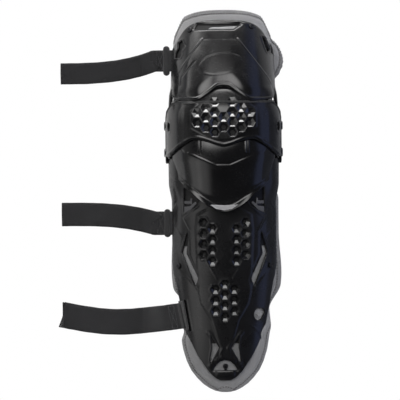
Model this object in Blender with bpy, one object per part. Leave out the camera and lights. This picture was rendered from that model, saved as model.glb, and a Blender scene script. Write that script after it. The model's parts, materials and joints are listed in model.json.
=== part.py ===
"""Articulated knee and shin guard: thigh shell, knee shell, knee cup and shin shell over a padded
liner, with three calf and thigh straps.

The guard lies on its back. +Y runs from the ankle to the thigh, +Z out of the front, +X to the
side away from the straps, and the floor is z = 0. Metres. ROOT shifts the design frame, whose
x = 0 is the guard's mid plane and y = 0 the lower edge of the knee shell, to the centre of the
whole object's base.
"""

import math

import bmesh
import bpy
import numpy as np
from mathutils import Matrix, Vector

# ---- driving dimensions, in the design frame ----
ROOT = Vector((0.068125, 0.06097, 0.0))
PIVOT_Z = 0.046
UPPER_PIVOT_Y = 0.038
LOWER_PIVOT_Y = 0.003
FLEX_DEG = 30
FLANGE_TURN = math.radians(FLEX_DEG + 5)
THIGH_LEAN = math.radians(28)
CUP_LEAN = math.radians(12)

KNEE_WIDTH, KNEE_DEPTH, KNEE_WALL = 0.0755, 0.078, 0.0025
FLANGE_WIDTH, FLANGE_DEPTH, WALL = 0.0713, 0.0745, 0.0022
THIGH_WIDTH, THIGH_DEPTH = 0.0693, 0.078
THIGH_LENGTH = 0.1164
SHELL_REAR_Z, LINER_REAR_Z = 0.014, 0.0
CUP_TIP_Y = -0.074
EDGE_GAP = 0.028
SHIN_TOP_Y, SHIN_TIP_Y = -0.030, -0.296
LINER_TOP_T = 0.1330
LINER_WALL, FOAM_WALL = 0.0050, 0.0090
KNEE_ARCH, SHIN_ARCH = 2.6, 2.3
LINER_DROP, FOAM_DROP, CURL = 0.0042, 0.0104, 0.013

RIVET_R, HEAD_R, HOLE_R = 0.0025, 0.0058, 0.0028
STRAP_T, TURN_R, BAR_HALF, SLOT_WIDTH = 0.0018, 0.0036, 0.0016, 0.0050
STRAP_END_X, PLY, HUMP_Z = -0.2120, 0.0021, 0.0094
RELIEF_R = 0.0054
HOOK_RUN, HOOK_TURN_R, HOOK_BAR = 0.0900, 0.0029, 0.0012
HOOK_POINTS = 13
EAR_INNER = (0.0686, 0.0715, 0.0130)
EAR_OUTER = (0.0730, 0.0760, 0.0140)
KEYHOLE = (0.0440, -0.2105)
MIDDLE_CATCH = (-0.0780, 0.0260)
STATIONS = [-0.030, -0.046, -0.060, -0.074, -0.095, -0.115, -0.137, -0.157, -0.175, -0.190, -0.211, -0.232,
            -0.248, -0.263, -0.274, -0.283, -0.290, -0.301, -0.310]

COLOURS = {
    "shell_black": ((0.012, 0.012, 0.013), 0.32, 0.0),
    "liner_grey": ((0.30, 0.30, 0.31), 0.95, 0.0),
    "foam_black": ((0.03, 0.03, 0.03), 0.95, 0.0),
    "strap_black": ((0.022, 0.023, 0.025), 0.9, 0.0),
    "rivet_black": ((0.02, 0.02, 0.02), 0.4, 0.0),
    "hook_plastic": ((0.02, 0.02, 0.022), 0.45, 0.0),
}


# ---- scene helpers ----
def clear_scene():
    for old in list(bpy.data.objects):
        bpy.data.objects.remove(old, do_unlink=True)


def material(slot):
    made = bpy.data.materials.get(slot)
    if made:
        return made
    colour, roughness, metallic = COLOURS[slot]
    made = bpy.data.materials.new(slot)
    made.use_nodes = True
    shader = made.node_tree.nodes["Principled BSDF"]
    shader.inputs["Base Color"].default_value = (*colour, 1.0)
    shader.inputs["Roughness"].default_value = roughness
    shader.inputs["Metallic"].default_value = metallic
    return made


def place(name, mesh, slot, parent, smooth=35):
    """Make an object from a mesh whose points are in the design frame, its origin at the parent."""
    mesh.transform(Matrix.Translation(-Vector(parent["place"])))
    mesh.materials.append(material(slot))
    mesh.shade_smooth()
    mesh.set_sharp_from_angle(angle=math.radians(smooth))
    made = bpy.data.objects.new(name, mesh)
    made.parent = parent
    bpy.context.scene.collection.objects.link(made)
    return made


def pivot_empty(name, point, parent=None):
    """An empty at a joint's axis; everything on that body hangs on it."""
    made = bpy.data.objects.new(name, None)
    made.empty_display_size = 0.02
    base = Vector(parent["place"]) if parent else -ROOT
    made["place"] = tuple(point)
    made.location = Vector(point) - base
    made.parent = parent
    bpy.context.scene.collection.objects.link(made)
    return made


def mesh_of(name, points, faces):
    mesh = bpy.data.meshes.new(name)
    work = bmesh.new()
    made = [work.verts.new(p) for p in points]
    for face in faces:
        work.faces.new([made[i] for i in face])
    bmesh.ops.recalc_face_normals(work, faces=work.faces)
    work.to_mesh(mesh)
    work.free()
    return mesh


def slab(name, outer, inner):
    """A closed solid between two grids of points with the same rows and columns."""
    rows, columns = len(outer), len(outer[0])
    points = [p for row in outer for p in row] + [p for row in inner for p in row]
    back = rows * columns

    def at(row, column):
        return row * columns + column

    faces = []
    for row in range(rows - 1):
        for column in range(columns - 1):
            quad = [at(row, column), at(row, column + 1), at(row + 1, column + 1), at(row + 1, column)]
            faces += [quad, [back + i for i in reversed(quad)]]
    rim = [at(0, c) for c in range(columns)] + [at(r, columns - 1) for r in range(1, rows)]
    rim += [at(rows - 1, c) for c in range(columns - 2, -1, -1)] + [at(r, 0) for r in range(rows - 2, 0, -1)]
    for here, there in zip(rim, rim[1:] + rim[:1]):
        faces.append([there, here, back + here, back + there])
    return mesh_of(name, points, faces)


def cutter(name, mesh, parent):
    made = place(name, mesh, "rivet_black", parent)
    made.hide_render = True
    made.display_type = "WIRE"
    return made


def combine(target, tool, operation):
    step = target.modifiers.new(f"{operation.lower()}_{tool.name}", "BOOLEAN")
    step.operation = operation
    step.object = tool
    step.solver = "EXACT"


def prism(name, outline, axis, low, high):
    """An outline of 2-D points pulled along an axis: "X" takes (y, z) points, "Z" takes (x, y)."""
    count = len(outline)
    if axis == "X":
        points = [(d, a, b) for d in (low, high) for a, b in outline]
    else:
        points = [(a, b, d) for d in (low, high) for a, b in outline]
    faces = [list(range(count)), list(range(count, 2 * count))]
    faces += [[i, (i + 1) % count, count + (i + 1) % count, count + i] for i in range(count)]
    return mesh_of(name, points, faces)


def disc(centre, radius, sides=20, start=0.0, end=2 * math.pi):
    steps = [start + (end - start) * i / sides for i in range(sides + (end - start < 6.28))]
    return [(centre[0] + radius * math.cos(a), centre[1] + radius * math.sin(a)) for a in steps]


def turned(name, outline, centre, direction, sides=14, ring=False):
    """A solid turned about an axis; the outline lists (distance along, radius) from tip to tip."""
    axis = Vector(direction).normalized()
    side = axis.orthogonal().normalized()
    other = axis.cross(side)
    rings, points = [], []
    for along, radius in outline:
        middle = Vector(centre) + axis * along
        if radius == 0:
            rings.append([len(points)])
            points.append(middle)
            continue
        rings.append(list(range(len(points), len(points) + sides)))
        for step in range(sides):
            angle = 2 * math.pi * step / sides
            points.append(middle + radius * (side * math.cos(angle) + other * math.sin(angle)))
    faces = []
    for low, high in zip(rings, rings[1:] + (rings[:1] if ring else [])):
        for step in range(sides):
            after = (step + 1) % sides
            if len(low) == 1:
                faces.append([low[0], high[step], high[after]])
            elif len(high) == 1:
                faces.append([low[step], low[after], high[0]])
            else:
                faces.append([low[step], low[after], high[after], high[step]])
    return mesh_of(name, points, faces)


# ---- shared curves ----
def blend(low, high, share):
    return low + (high - low) * share


def ease(low, high, value):
    share = min(max((value - low) / (high - low), 0.0), 1.0)
    return share * share * (3 - 2 * share)


def between(table, value):
    """Read a short table of (position, value) pairs."""
    table = sorted(table)
    return float(np.interp(value, [p for p, _ in table], [v for _, v in table]))


def half_arch(width, depth, end, power, flare):
    """One side of an arch, from the middle of the front to the side's end at r = end."""
    top = math.acos(max(end / depth, 0.0) ** (power / 2))
    half = []
    for step in range(121):
        angle = top * step / 120
        rise = max(math.cos(angle), 0.0) ** (2 / power)
        half.append((width * math.sin(angle) ** (2 / power), depth * rise))
    if end < 0:
        half += [(width, end * step / 30) for step in range(1, 31)]
    return [(x + flare * (1 - ease(end, end + CURL, r)), r) for x, r in half]


def arch(width, depth, ends, columns, power=KNEE_ARCH, flares=(0.0, 0.0)):
    """Evenly spaced points (x, r) of a superellipse arch, from the left end to the right.

    ends are the r of the two ends; below zero a side runs on straight. flares move them outwards.
    """
    left = [(-x, r) for x, r in half_arch(width, depth, ends[0], power, flares[0])]
    right = half_arch(width, depth, ends[1], power, flares[1])
    dense = np.array(left[::-1] + right[1:])
    run = np.concatenate([[0], np.cumsum(np.linalg.norm(np.diff(dense, axis=0), axis=1))])
    even = np.linspace(0, run[-1], columns)
    return np.stack([np.interp(even, run, dense[:, 0]), np.interp(even, run, dense[:, 1])], axis=1)


def inset(curve, wall):
    """The same curve moved inwards by the wall thickness along its own normals."""
    slope = np.gradient(curve, axis=0)
    slope /= np.linalg.norm(slope, axis=1)[:, None]
    return curve + wall * np.stack([slope[:, 1], -slope[:, 0]], axis=1)


def thigh_point(x, r, t):
    """A point of a thigh section: r out of the front, t along the leaning thigh."""
    s, c = math.sin(THIGH_LEAN), math.cos(THIGH_LEAN)
    return Vector((x, UPPER_PIVOT_Y + r * s + t * c, PIVOT_Z + r * c - t * s))


def turned_point(x, r, angle, pivot_y):
    """A point at radius r about a pivot axis; angle is from straight ahead towards the thigh."""
    return Vector((x, pivot_y + r * math.sin(angle), PIVOT_Z + r * math.cos(angle)))


def knee_point(x, r, station):
    """A point of the knee shell: turned about both pivots and straight between them."""
    span = UPPER_PIVOT_Y - LOWER_PIVOT_Y
    if station > span:
        return turned_point(x, r, (station - span) / KNEE_DEPTH, UPPER_PIVOT_Y)
    if station < 0:
        return turned_point(x, r, station / KNEE_DEPTH, LOWER_PIVOT_Y)
    return Vector((x, LOWER_PIVOT_Y + station, PIVOT_Z + r))


def cup_point(x, r, t):
    """A point of the knee cup below its turned part: t along the leaning cup."""
    s, c = math.sin(CUP_LEAN), math.cos(CUP_LEAN)
    return Vector((x, LOWER_PIVOT_Y - r * s - t * c, PIVOT_Z + r * c - t * s))


def lip_y(x):
    """Where the thigh shell's lower lip lies, a wave that rises in the middle."""
    return 0.0705 + 0.0185 * (1 - ease(0.008, 0.031, abs(x)))


def lip_angle(x, r):
    """The same lip as an angle about the upper pivot."""
    return min(math.asin(min(1.0, (lip_y(x) - UPPER_PIVOT_Y) / r)), math.radians(74))


def knee_foot(x, r):
    """The knee shell's lower edge, as a height over the lower pivot and as a station."""
    drop = between([(0.076, -0.007), (0.071, -0.004), (0.060, 0.006), (0.043, 0.0165), (0.034, 0.0170),
                    (0.021, 0.0135), (0.010, 0.0090), (0.0, 0.0065)], abs(x))
    return drop, drop if drop >= 0 else KNEE_DEPTH * math.asin(max(drop / r, -0.5))


def vee_y(x):
    """The knee cup's flared V edge."""
    return CUP_TIP_Y + 0.82 * max(0.0, abs(x) - 0.008)


def thigh_rear(t, clear_z):
    """The r where a thigh side wall ends: cut back near the hinge, clear of the floor beyond it."""
    floor = (clear_z - PIVOT_Z + t * math.sin(THIGH_LEAN)) / math.cos(THIGH_LEAN)
    return max(0.003 - 0.5 * t, floor)


def shin_front_z(y):
    return between([(0.0, 0.110), (-0.032, 0.1045), (-0.074, 0.0985), (-0.137, 0.0895), (-0.190, 0.0795),
                    (-0.232, 0.0700), (-0.263, 0.0620), (-0.296, 0.0520), (-0.312, 0.0460)], y)


def shin_base_z(y):
    return between([(0.0, 0.046), (-0.100, 0.042), (-0.200, 0.036), (-0.312, 0.028)], y)


def shin_width(y):
    return between([(0.0, 0.0693), (-0.060, 0.0683), (-0.140, 0.0683), (-0.166, 0.0670), (-0.200, 0.0620),
                    (-0.236, 0.0560), (-0.263, 0.0515), (-0.312, 0.0440)], y)


def shin_edge_x(y):
    """Half the shin shell's width from the front, where it is narrower than the liner."""
    return between([(-0.157, 0.0655), (-0.190, 0.0597), (-0.232, 0.0515), (-0.263, 0.0360),
                    (-0.283, 0.0210), (-0.292, 0.0105), (-0.296, 0.0045)], y)


def arch_r(x, width, depth, power):
    return depth * max(1 - (abs(x) / width) ** power, 0.0) ** (1 / power)


def shin_surface(x, y):
    depth = shin_front_z(y) - shin_base_z(y)
    return Vector((x, y, shin_base_z(y) + arch_r(x, shin_width(y), depth, SHIN_ARCH)))


def thigh_surface(x, t):
    return thigh_point(x, arch_r(x, THIGH_WIDTH - 0.001, THIGH_DEPTH, KNEE_ARCH), t)


def cup_surface(x, t):
    return cup_point(x, arch_r(x, FLANGE_WIDTH - 0.002, FLANGE_DEPTH, KNEE_ARCH), t)


def normal_of(surface, a, b):
    step = 0.001
    across = surface(a + step, b) - surface(a - step, b)
    along = surface(a, b + step) - surface(a, b - step)
    normal = across.cross(along).normalized()
    return normal if normal.z > 0 else -normal


# ---- shells ----
def thigh_rows(wall, columns=23):
    """The thigh shell's rows, from the top edge over the visible face to the tucked-in flange."""
    rows = []
    for share in np.linspace(0, 1, 8):
        side_t = blend(0.096, 0.006, share)
        depth = THIGH_DEPTH + 0.0015 * math.sin(math.pi * share)
        rear = thigh_rear(side_t, SHELL_REAR_Z - 0.0015)
        curve = arch(blend(0.0680, THIGH_WIDTH, share), depth, (rear, rear), columns)
        row = []
        for (x, r), (px, pr) in zip(curve, inset(curve, wall)):
            top = THIGH_LENGTH - 0.009 * ease(0.0, 0.055, abs(x)) - 0.014 * (1 - ease(0.0, 0.030, r))
            lip = 0.006 * (1 - ease(0.0, 0.010, r))
            if r > 0:
                lip += r * math.tan(lip_angle(x, r) - THIGH_LEAN)
            point = thigh_point(px, pr, blend(top, lip, share))
            point.z = max(point.z, SHELL_REAR_Z)
            row.append(point)
        rows.append(row)
    for share in np.linspace(0, 1, 6):
        curve = arch(FLANGE_WIDTH, FLANGE_DEPTH, (0.008, 0.008), columns)
        row = []
        for (x, r), (px, pr) in zip(curve, inset(curve, wall)):
            angle = lip_angle(x, r) - 0.004 - FLANGE_TURN * share
            row.append(turned_point(px, pr, angle, UPPER_PIVOT_Y))
        rows.append(row)
    return rows


def knee_rows(wall, columns=25):
    """The knee shell's rows, from its wavy upper edge to its lower one."""
    rows = []
    span = UPPER_PIVOT_Y - LOWER_PIVOT_Y
    curve = arch(KNEE_WIDTH, KNEE_DEPTH, (0.008, 0.008), columns)
    for share in np.linspace(0, 1, 12):
        row = []
        for (x, r), (px, pr) in zip(curve, inset(curve, wall)):
            top = span + KNEE_DEPTH * (lip_angle(x, r) - EDGE_GAP)
            row.append(knee_point(px, pr, blend(top, knee_foot(x, r)[1], share)))
        rows.append(row)
    return rows


def cup_rows(wall, columns=19):
    """The knee cup's rows: a tongue turned about the lower pivot, then the flared V."""
    rows = []
    curve = arch(FLANGE_WIDTH, FLANGE_DEPTH, (0.036, 0.036), columns)
    for share in np.linspace(0, 1, 7):
        row = []
        for (x, r), (px, pr) in zip(curve, inset(curve, wall)):
            high = math.asin(knee_foot(x, r)[0] / r) + FLANGE_TURN
            row.append(turned_point(px, pr, blend(high, -CUP_LEAN, share), LOWER_PIVOT_Y))
        rows.append(row)
    for share in np.linspace(0, 1, 6)[1:]:
        curve = arch(blend(FLANGE_WIDTH, 0.0660, share), FLANGE_DEPTH + 0.0020 * ease(0.7, 1, share),
                     (blend(0.036, 0.047, share),) * 2, columns)
        row = []
        for (x, r), (px, pr) in zip(curve, inset(curve, wall)):
            foot = (LOWER_PIVOT_Y - r * math.sin(CUP_LEAN) - vee_y(x)) / math.cos(CUP_LEAN)
            row.append(cup_point(px, pr, foot * share))
        rows.append(row)
    return rows


def shin_rear(y):
    """The r where a shin side wall ends: along the floor, then up over the liner to the tip."""
    depth = shin_front_z(y) - shin_base_z(y)
    floor = SHELL_REAR_Z - shin_base_z(y)
    return blend(floor, arch_r(shin_edge_x(y), shin_width(y), depth, SHIN_ARCH), ease(-0.115, -0.165, y))


def shin_rows(wall, columns=23):
    rows = []
    for y in [s for s in STATIONS if SHIN_TOP_Y >= s > SHIN_TIP_Y] + [SHIN_TIP_Y]:
        curve = arch(shin_width(y), shin_front_z(y) - shin_base_z(y), (shin_rear(y),) * 2, columns, SHIN_ARCH)
        near = 1 - ease(0.0, 0.035, SHIN_TOP_Y - y)
        row = []
        for (x, r), (px, pr) in zip(curve, inset(curve, wall)):
            rise = 0.026 * (1 - ease(0.030, 0.052, r)) + 0.6 * min(r, 0.0)
            row.append(Vector((px, y + near * rise, shin_base_z(y) + pr)))
        rows.append(row)
    return rows


def ear(name, parent, sign, pivots, inner_x, outer_x, radius):
    """A rounded plate round one or two pivots, joined to a shell's side wall."""
    low, high = min(pivots), max(pivots)
    outline = disc((high, PIVOT_Z), radius, 12, -math.pi / 2, math.pi / 2)
    outline += disc((low, PIVOT_Z), radius, 12, math.pi / 2, 1.5 * math.pi)
    if high == low:
        outline = disc((low, PIVOT_Z), radius, 24)
    return cutter(name, prism(name, outline, "X", *sorted((sign * inner_x, sign * outer_x))), parent)


def add_ears(shell, parent, pivots, inner_x, outer_x, radius):
    """Join a pivot plate to both sides of a shell, then drill the pivot holes."""
    for side, sign in (("left", -1), ("right", 1)):
        plate = ear(f"{shell.name}_ear_{side}", parent, sign, pivots, inner_x, outer_x, radius)
        combine(shell, plate, "UNION")
    for index, pivot_y in enumerate(pivots):
        hole = turned("hole", [(-0.09, 0), (-0.09, HOLE_R), (0.09, HOLE_R), (0.09, 0)],
                      (0, pivot_y, PIVOT_Z), (1, 0, 0))
        combine(shell, cutter(f"{shell.name}_hole_{index}", hole, parent), "DIFFERENCE")


def cut_window(shell, parent, name, outline, low=0.03, high=0.13):
    combine(shell, cutter(name, prism(name, outline, "Z", low, high), parent), "DIFFERENCE")


def mirrored(outline):
    return [(-x, y) for x, y in reversed(outline)]


# ---- liner and foam ----
def thigh_soft_rows(width, depth, wall, top_t, foot, clear_z, flare, columns=17):
    """Rows of a thigh padding layer between its top edge and a line through the upper pivot."""
    rows = []
    for share in np.linspace(0, 1, 8):
        side_t = blend(top_t - 0.022, foot, share)
        bulge = flare * math.sin(math.pi * min(1.0, share * 1.7))
        rear = max(thigh_rear(side_t, clear_z), -0.5 * side_t)
        curve = arch(width, depth, (rear, rear), columns, flares=(0.0, bulge))
        row = []
        for (x, r), (px, pr) in zip(curve, inset(curve, wall)):
            top = top_t - 0.020 * ease(0.030, 0.060, abs(x)) - 0.010 * (1 - ease(0.0, 0.030, r))
            point = thigh_point(px, pr, blend(top, foot - 0.14 * max(r, 0.0), share))
            point.z = max(point.z, clear_z)
            row.append(point)
        rows.append(row)
    return rows


def knee_soft_rows(width, depth, wall, turn_deg, columns=15):
    """Rows of a knee padding layer: a lens between the two pivots."""
    rows = []
    middle = (UPPER_PIVOT_Y + LOWER_PIVOT_Y) / 2
    curve = arch(width, depth, (0.022, 0.022), columns)
    for angle in np.radians(np.linspace(turn_deg, -turn_deg, 7)):
        row = []
        for px, pr in inset(curve, wall):
            row.append(Vector((px, middle + 0.68 * pr * math.sin(angle), PIVOT_Z + pr * math.cos(angle))))
        rows.append(row)
    return rows


def liner_edge(y, depth, width):
    """The r where the liner ends: on the floor, then round the open U over the ankle."""
    spread = between([(-0.263, 0.96), (-0.288, 0.80), (-0.301, 0.56), (-0.308, 0.28), (-0.310, 0.12)], y)
    high = arch_r(spread * width, width, depth, SHIN_ARCH)
    return blend(LINER_REAR_Z - shin_base_z(y), high, ease(-0.250, -0.283, y))


def shin_soft_rows(drop, wall, ys, rear_lift, flares, columns=17):
    """Rows of a shin padding layer, drop metres inside the shell's outer face."""
    rows = []
    for y in ys:
        width, depth = shin_width(y) - drop, shin_front_z(y) - shin_base_z(y) - drop
        spread = ease(-0.020, -0.060, y) * (1 - ease(-0.225, -0.285, y))
        rear = liner_edge(y, depth, width) + rear_lift
        curve = arch(width, depth, (rear, rear), columns, SHIN_ARCH, [f * spread for f in flares])
        near = 1 - ease(0.0, 0.035, ys[0] - y)
        row = []
        for (x, r), (px, pr) in zip(curve, inset(curve, wall)):
            rise = 0.014 * (1 - ease(0.018, 0.040, r)) + 0.6 * min(r, 0.0)
            row.append(Vector((px, y + near * rise, max(shin_base_z(y) + pr, LINER_REAR_Z + rear_lift))))
        rows.append(row)
    return rows


# ---- fasteners ----
def stud(name, parent, centre, direction, outline, slot="rivet_black", sides=12):
    """A turned fastener; the outline's distances start at the shell's outer face."""
    return place(name, turned(name, outline, centre, direction, sides), slot, parent)


def drill(target, parent, name, centre, direction, radius, depth=0.008):
    outline = [(-depth, 0), (-depth, radius), (0.008, radius), (0.008, 0)]
    combine(target, cutter(name, turned(name, outline, centre, direction, 12), parent), "DIFFERENCE")


def rivet_outline():
    """A domed head over the shell and a shank that ends just over the liner."""
    return [(-0.0034, 0), (-0.0034, 0.0018), (0.0009, 0.0018), (0.0009, 0.0037), (0.0014, 0.0036),
            (0.0021, 0.0022), (0.0023, 0)]


def peg_outline(base, depth=0.0040):
    """A peg in a window of the shell, on a base plate behind it, that a strap's hook clips on."""
    return [(-depth, 0), (-depth, base), (0.0006 - depth, base), (0.0006 - depth, 0.0013), (-0.0008, 0.0013),
            (-0.0008, 0.0020), (0.0004, 0.0018), (0.0006, 0)]


# ---- straps ----
def band(name, path, widths, across, parent):
    """A flat woven band along a path: its width along `across`, its thickness square to both."""
    points = []
    count = len(path)
    for i, here in enumerate(path):
        run = (path[min(i + 1, count - 1)] - path[max(i - 1, 0)]).normalized()
        wide = (across[i] - run * across[i].dot(run)).normalized()
        thick = run.cross(wide) * (STRAP_T / 2)
        half = wide * widths[i] / 2
        points += [here - half - thick, here + half - thick, here + half + thick, here - half + thick]
    faces = [[0, 1, 2, 3], [4 * count - 4 + i for i in range(4)]]
    for i in range(count - 1):
        for side in range(4):
            after = (side + 1) % 4
            faces.append([4 * i + side, 4 * i + after, 4 * i + 4 + after, 4 * i + 4 + side])
    return place(name, mesh_of(name, points, faces), "strap_black", parent, smooth=40)


def strap_frame(along, out_deg):
    """The way a strap leaves its bar, and the way up from it, both square to the bar."""
    level = Vector((-along.y, along.x, 0)).normalized()
    up = level.cross(along)
    up = up if up.z > 0 else -up
    drop = math.radians(out_deg)
    return level * math.cos(drop) - up * math.sin(drop), up * math.cos(drop) + level * math.sin(drop)


def lane_y(x, start, end_y, sag):
    """Where a strap's middle lies across the guard's length, as it runs out from `start`."""
    share = (start.x - x) / (start.x - STRAP_END_X)
    return end_y + (start.y - end_y) * (1 - share) ** 2 - sag * math.sin(math.pi * share)


def strap_path(bar, along, out_deg, end_y, sag):
    """A strap's middle line: round the shell's bar, to the floor, folded back to its hook.

    Returns the points, how many lie round the bar, and the hook bar's middle and heading.
    """
    out, up = strap_frame(along, out_deg)
    turn = [(0.024, -PLY / 2), (0.0075, -PLY / 2), (0.004, -PLY / 2 - 0.0008)]
    for step in range(11):
        angle = -math.pi / 2 - math.pi * step / 10
        turn.append((TURN_R * math.cos(angle), TURN_R * math.sin(angle)))
    turn += [(0.004, PLY / 2 + 0.0008), (0.0075, PLY / 2), (0.024, PLY / 2)]
    path = [bar + out * u + up * v for u, v in turn]
    start, doubled = path[-1], len(path)
    low = STRAP_T / 2 + 0.00002
    high, hook_x = low + PLY, STRAP_END_X + HOOK_RUN
    land_x = hook_x + 0.012
    reach = (start.x - land_x) / 3
    fall = start.z + out.z / abs(out.x) * reach
    for step in range(1, 9):
        k = step / 8
        x = blend(start.x, land_x, k)
        z = start.z * (1 - k) ** 3 + 3 * fall * k * (1 - k) ** 2 + HUMP_Z * (3 * k * k * (1 - k) + k ** 3)
        path.append(Vector((x, lane_y(x, start, end_y, sag), z)))
    for step in range(1, 9):
        x = blend(land_x, STRAP_END_X, step / 8)
        path.append(Vector((x, lane_y(x, start, end_y, sag), blend(HUMP_Z, high, ease(0.2, 0.95, step / 8)))))
    for step in range(1, 6):
        angle = math.pi * step / 6
        z = low + (1 + math.cos(angle)) * PLY / 2
        path.append(Vector((STRAP_END_X - math.sin(angle) * PLY / 2, end_y, z)))
    for step in range(5):
        x = blend(STRAP_END_X, hook_x - 0.010, step / 4)
        path.append(Vector((x, lane_y(x, start, end_y, sag), low)))
    centre = Vector((hook_x, lane_y(hook_x, start, end_y, sag), low + HOOK_TURN_R))
    heading = (centre - path[-1]).to_2d().normalized().to_3d()
    for step in range(9):
        angle = -math.pi / 2 + math.pi * step / 8
        path.append(centre + (heading * math.cos(angle) + Vector((0, 0, math.sin(angle)))) * HOOK_TURN_R)
    for back, lift in ((0.006, 0.0010), (0.010, 0.0), (0.020, 0.0)):
        path.append(centre - heading * back + Vector((0, 0, PLY + lift - HOOK_TURN_R)))
    return path, doubled, centre, heading


def hook(name, centre, heading, width, parent):
    """A flat plastic hook: a bar for the strap, an eye and a keyhole that clips on a peg."""
    half, eye = width / 2 + 0.0040, width / 2 + 0.0008

    def turned_to(outline):
        return [(centre.x + u * heading.x - v * heading.y, centre.y + u * heading.y + v * heading.x)
                for u, v in outline]

    plate = [(-HOOK_BAR, -half), (0.012, -half), (0.020, -0.007), (0.0215, -0.0045), (0.0215, 0.0045),
             (0.020, 0.007), (0.012, half), (-HOOK_BAR, half)]
    made = place(name, prism(name, turned_to(plate), "Z", centre.z - HOOK_BAR, centre.z + HOOK_BAR),
                 "hook_plastic", parent)
    opening = turned_to([(HOOK_BAR, -eye), (0.0062, -eye), (0.0062, eye), (HOOK_BAR, eye)])
    combine(made, cutter(f"{name}_eye", prism("eye", opening, "Z", 0, 0.02), parent), "DIFFERENCE")
    keyhole = turned_to(disc((0.0135, 0), 0.0030, 12))
    combine(made, cutter(f"{name}_keyhole", prism("keyhole", keyhole, "Z", 0, 0.02), parent), "DIFFERENCE")
    return made


def slot_in(shell, parent, name, bar, along, inward, width):
    """Cut a strap's slot beside its bar, inward from the shell's edge."""
    middle = bar + inward * (BAR_HALF + SLOT_WIDTH / 2)
    through = along.cross(inward)
    half = width / 2 + 0.001
    points = []
    for depth in (-0.006, 0.006):
        for u, v in ((-1, -1), (1, -1), (1, 1), (-1, 1)):
            points.append(middle + along * u * half + inward * v * SLOT_WIDTH / 2 + through * depth)
    faces = [[0, 1, 2, 3], [4, 5, 6, 7], [0, 1, 5, 4], [1, 2, 6, 5], [2, 3, 7, 6], [3, 0, 4, 7]]
    combine(shell, cutter(name, mesh_of(name, points, faces), parent), "DIFFERENCE")


def relieve(soft, parent, name, bar, along, width):
    """Clear the padding where a strap turns round its bar."""
    half = width / 2 + 0.0015
    hole = turned(name, [(-half, 0), (-half, RELIEF_R), (half, RELIEF_R), (half, 0)], bar, along, 16)
    combine(soft, cutter(name, hole, parent), "DIFFERENCE")


def add_strap(name, shell, soft, parent, bar, along, inward, width, out_deg, end_y, sag=0.0):
    """A strap on its own joint empty, its hook, its slot in the shell and its room in the liner."""
    slot_in(shell, parent, f"{name}_slot", bar, along, inward, width)
    relieve(soft, parent, f"{name}_relief", bar, along, width)
    swing = pivot_empty(f"{name}_hinge", bar, parent)
    path, doubled, hook_centre, heading = strap_path(bar, along, out_deg, end_y, sag)
    turn_to = [ease(doubled, doubled + 6, i) for i in range(len(path))]
    across = [(along * (1 - k) + Vector((0, 1, 0)) * k).normalized() for k in turn_to[:-HOOK_POINTS]]
    across += [Vector((-heading.y, heading.x, 0))] * HOOK_POINTS
    widths = [blend(width, width - 0.009, ease(len(path) - 15, len(path) - 12, i)) for i in range(len(path))]
    band(name, path, widths, across, swing)
    hook(f"{name}_hook", hook_centre, heading, width - 0.009, swing)


# ---- the bodies ----
def build_thigh(parent):
    body = slab("thigh_shell", thigh_rows(0.0), thigh_rows(WALL))
    shell = place("thigh_shell", body, "shell_black", parent)
    add_ears(shell, parent, [UPPER_PIVOT_Y], *EAR_INNER)
    vent = [(-0.037, 0.1655), (0.013, 0.1655), (0.020, 0.1705), (-0.034, 0.1705)]
    cut_window(shell, parent, "vent_slot", vent)
    hook_slots = (("left", -0.0570, 0.1380, 0.0018, -1), ("right", 0.0570, 0.1440, 0.0035, 1))
    for name, x, y, lean, sign in hook_slots:
        outline = [(x - 0.0032 - sign * lean, y + 0.010), (x - 0.0032 + sign * lean, y - 0.010),
                   (x + 0.0032 + sign * lean, y - 0.010), (x + 0.0032 - sign * lean, y + 0.010)]
        cut_window(shell, parent, f"hook_slot_{name}", outline, 0.015, 0.1)
    liner_parts = [thigh_soft_rows(0.0646, 0.0695, wall, LINER_TOP_T, 0.003, LINER_REAR_Z, 0.011)
                   for wall in (0.0, LINER_WALL)]
    liner = place("thigh_liner", slab("thigh_liner", *liner_parts), "liner_grey", parent)
    foam_parts = [thigh_soft_rows(0.0588, 0.0637, wall, 0.116, 0.014, 0.012, 0.0)
                  for wall in (0.0, FOAM_WALL)]
    place("thigh_foam", slab("thigh_foam", *foam_parts), "foam_black", parent)
    for name, x, t in (("left", -0.0430, 0.1060), ("right", 0.0380, 0.1090)):
        centre, normal = thigh_surface(x, t), normal_of(thigh_surface, x, t)
        drill(shell, parent, f"thigh_rivet_hole_{name}", centre, normal, 0.0023)
        stud(f"thigh_rivet_{name}", parent, centre, normal, rivet_outline())
    centre, normal = thigh_surface(0.0570, 0.0985), normal_of(thigh_surface, 0.0570, 0.0985)
    stud("top_catch", parent, centre, normal, peg_outline(0.0040, 0.0058))
    bar = Vector((-0.0668, 0.1245, SHELL_REAR_Z + BAR_HALF))
    along, inward = Vector((0, 1, 0)), Vector((0, 0, 1))
    add_strap("thigh_strap", shell, liner, parent, bar, along, inward, 0.028, 9, 0.1065)


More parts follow.
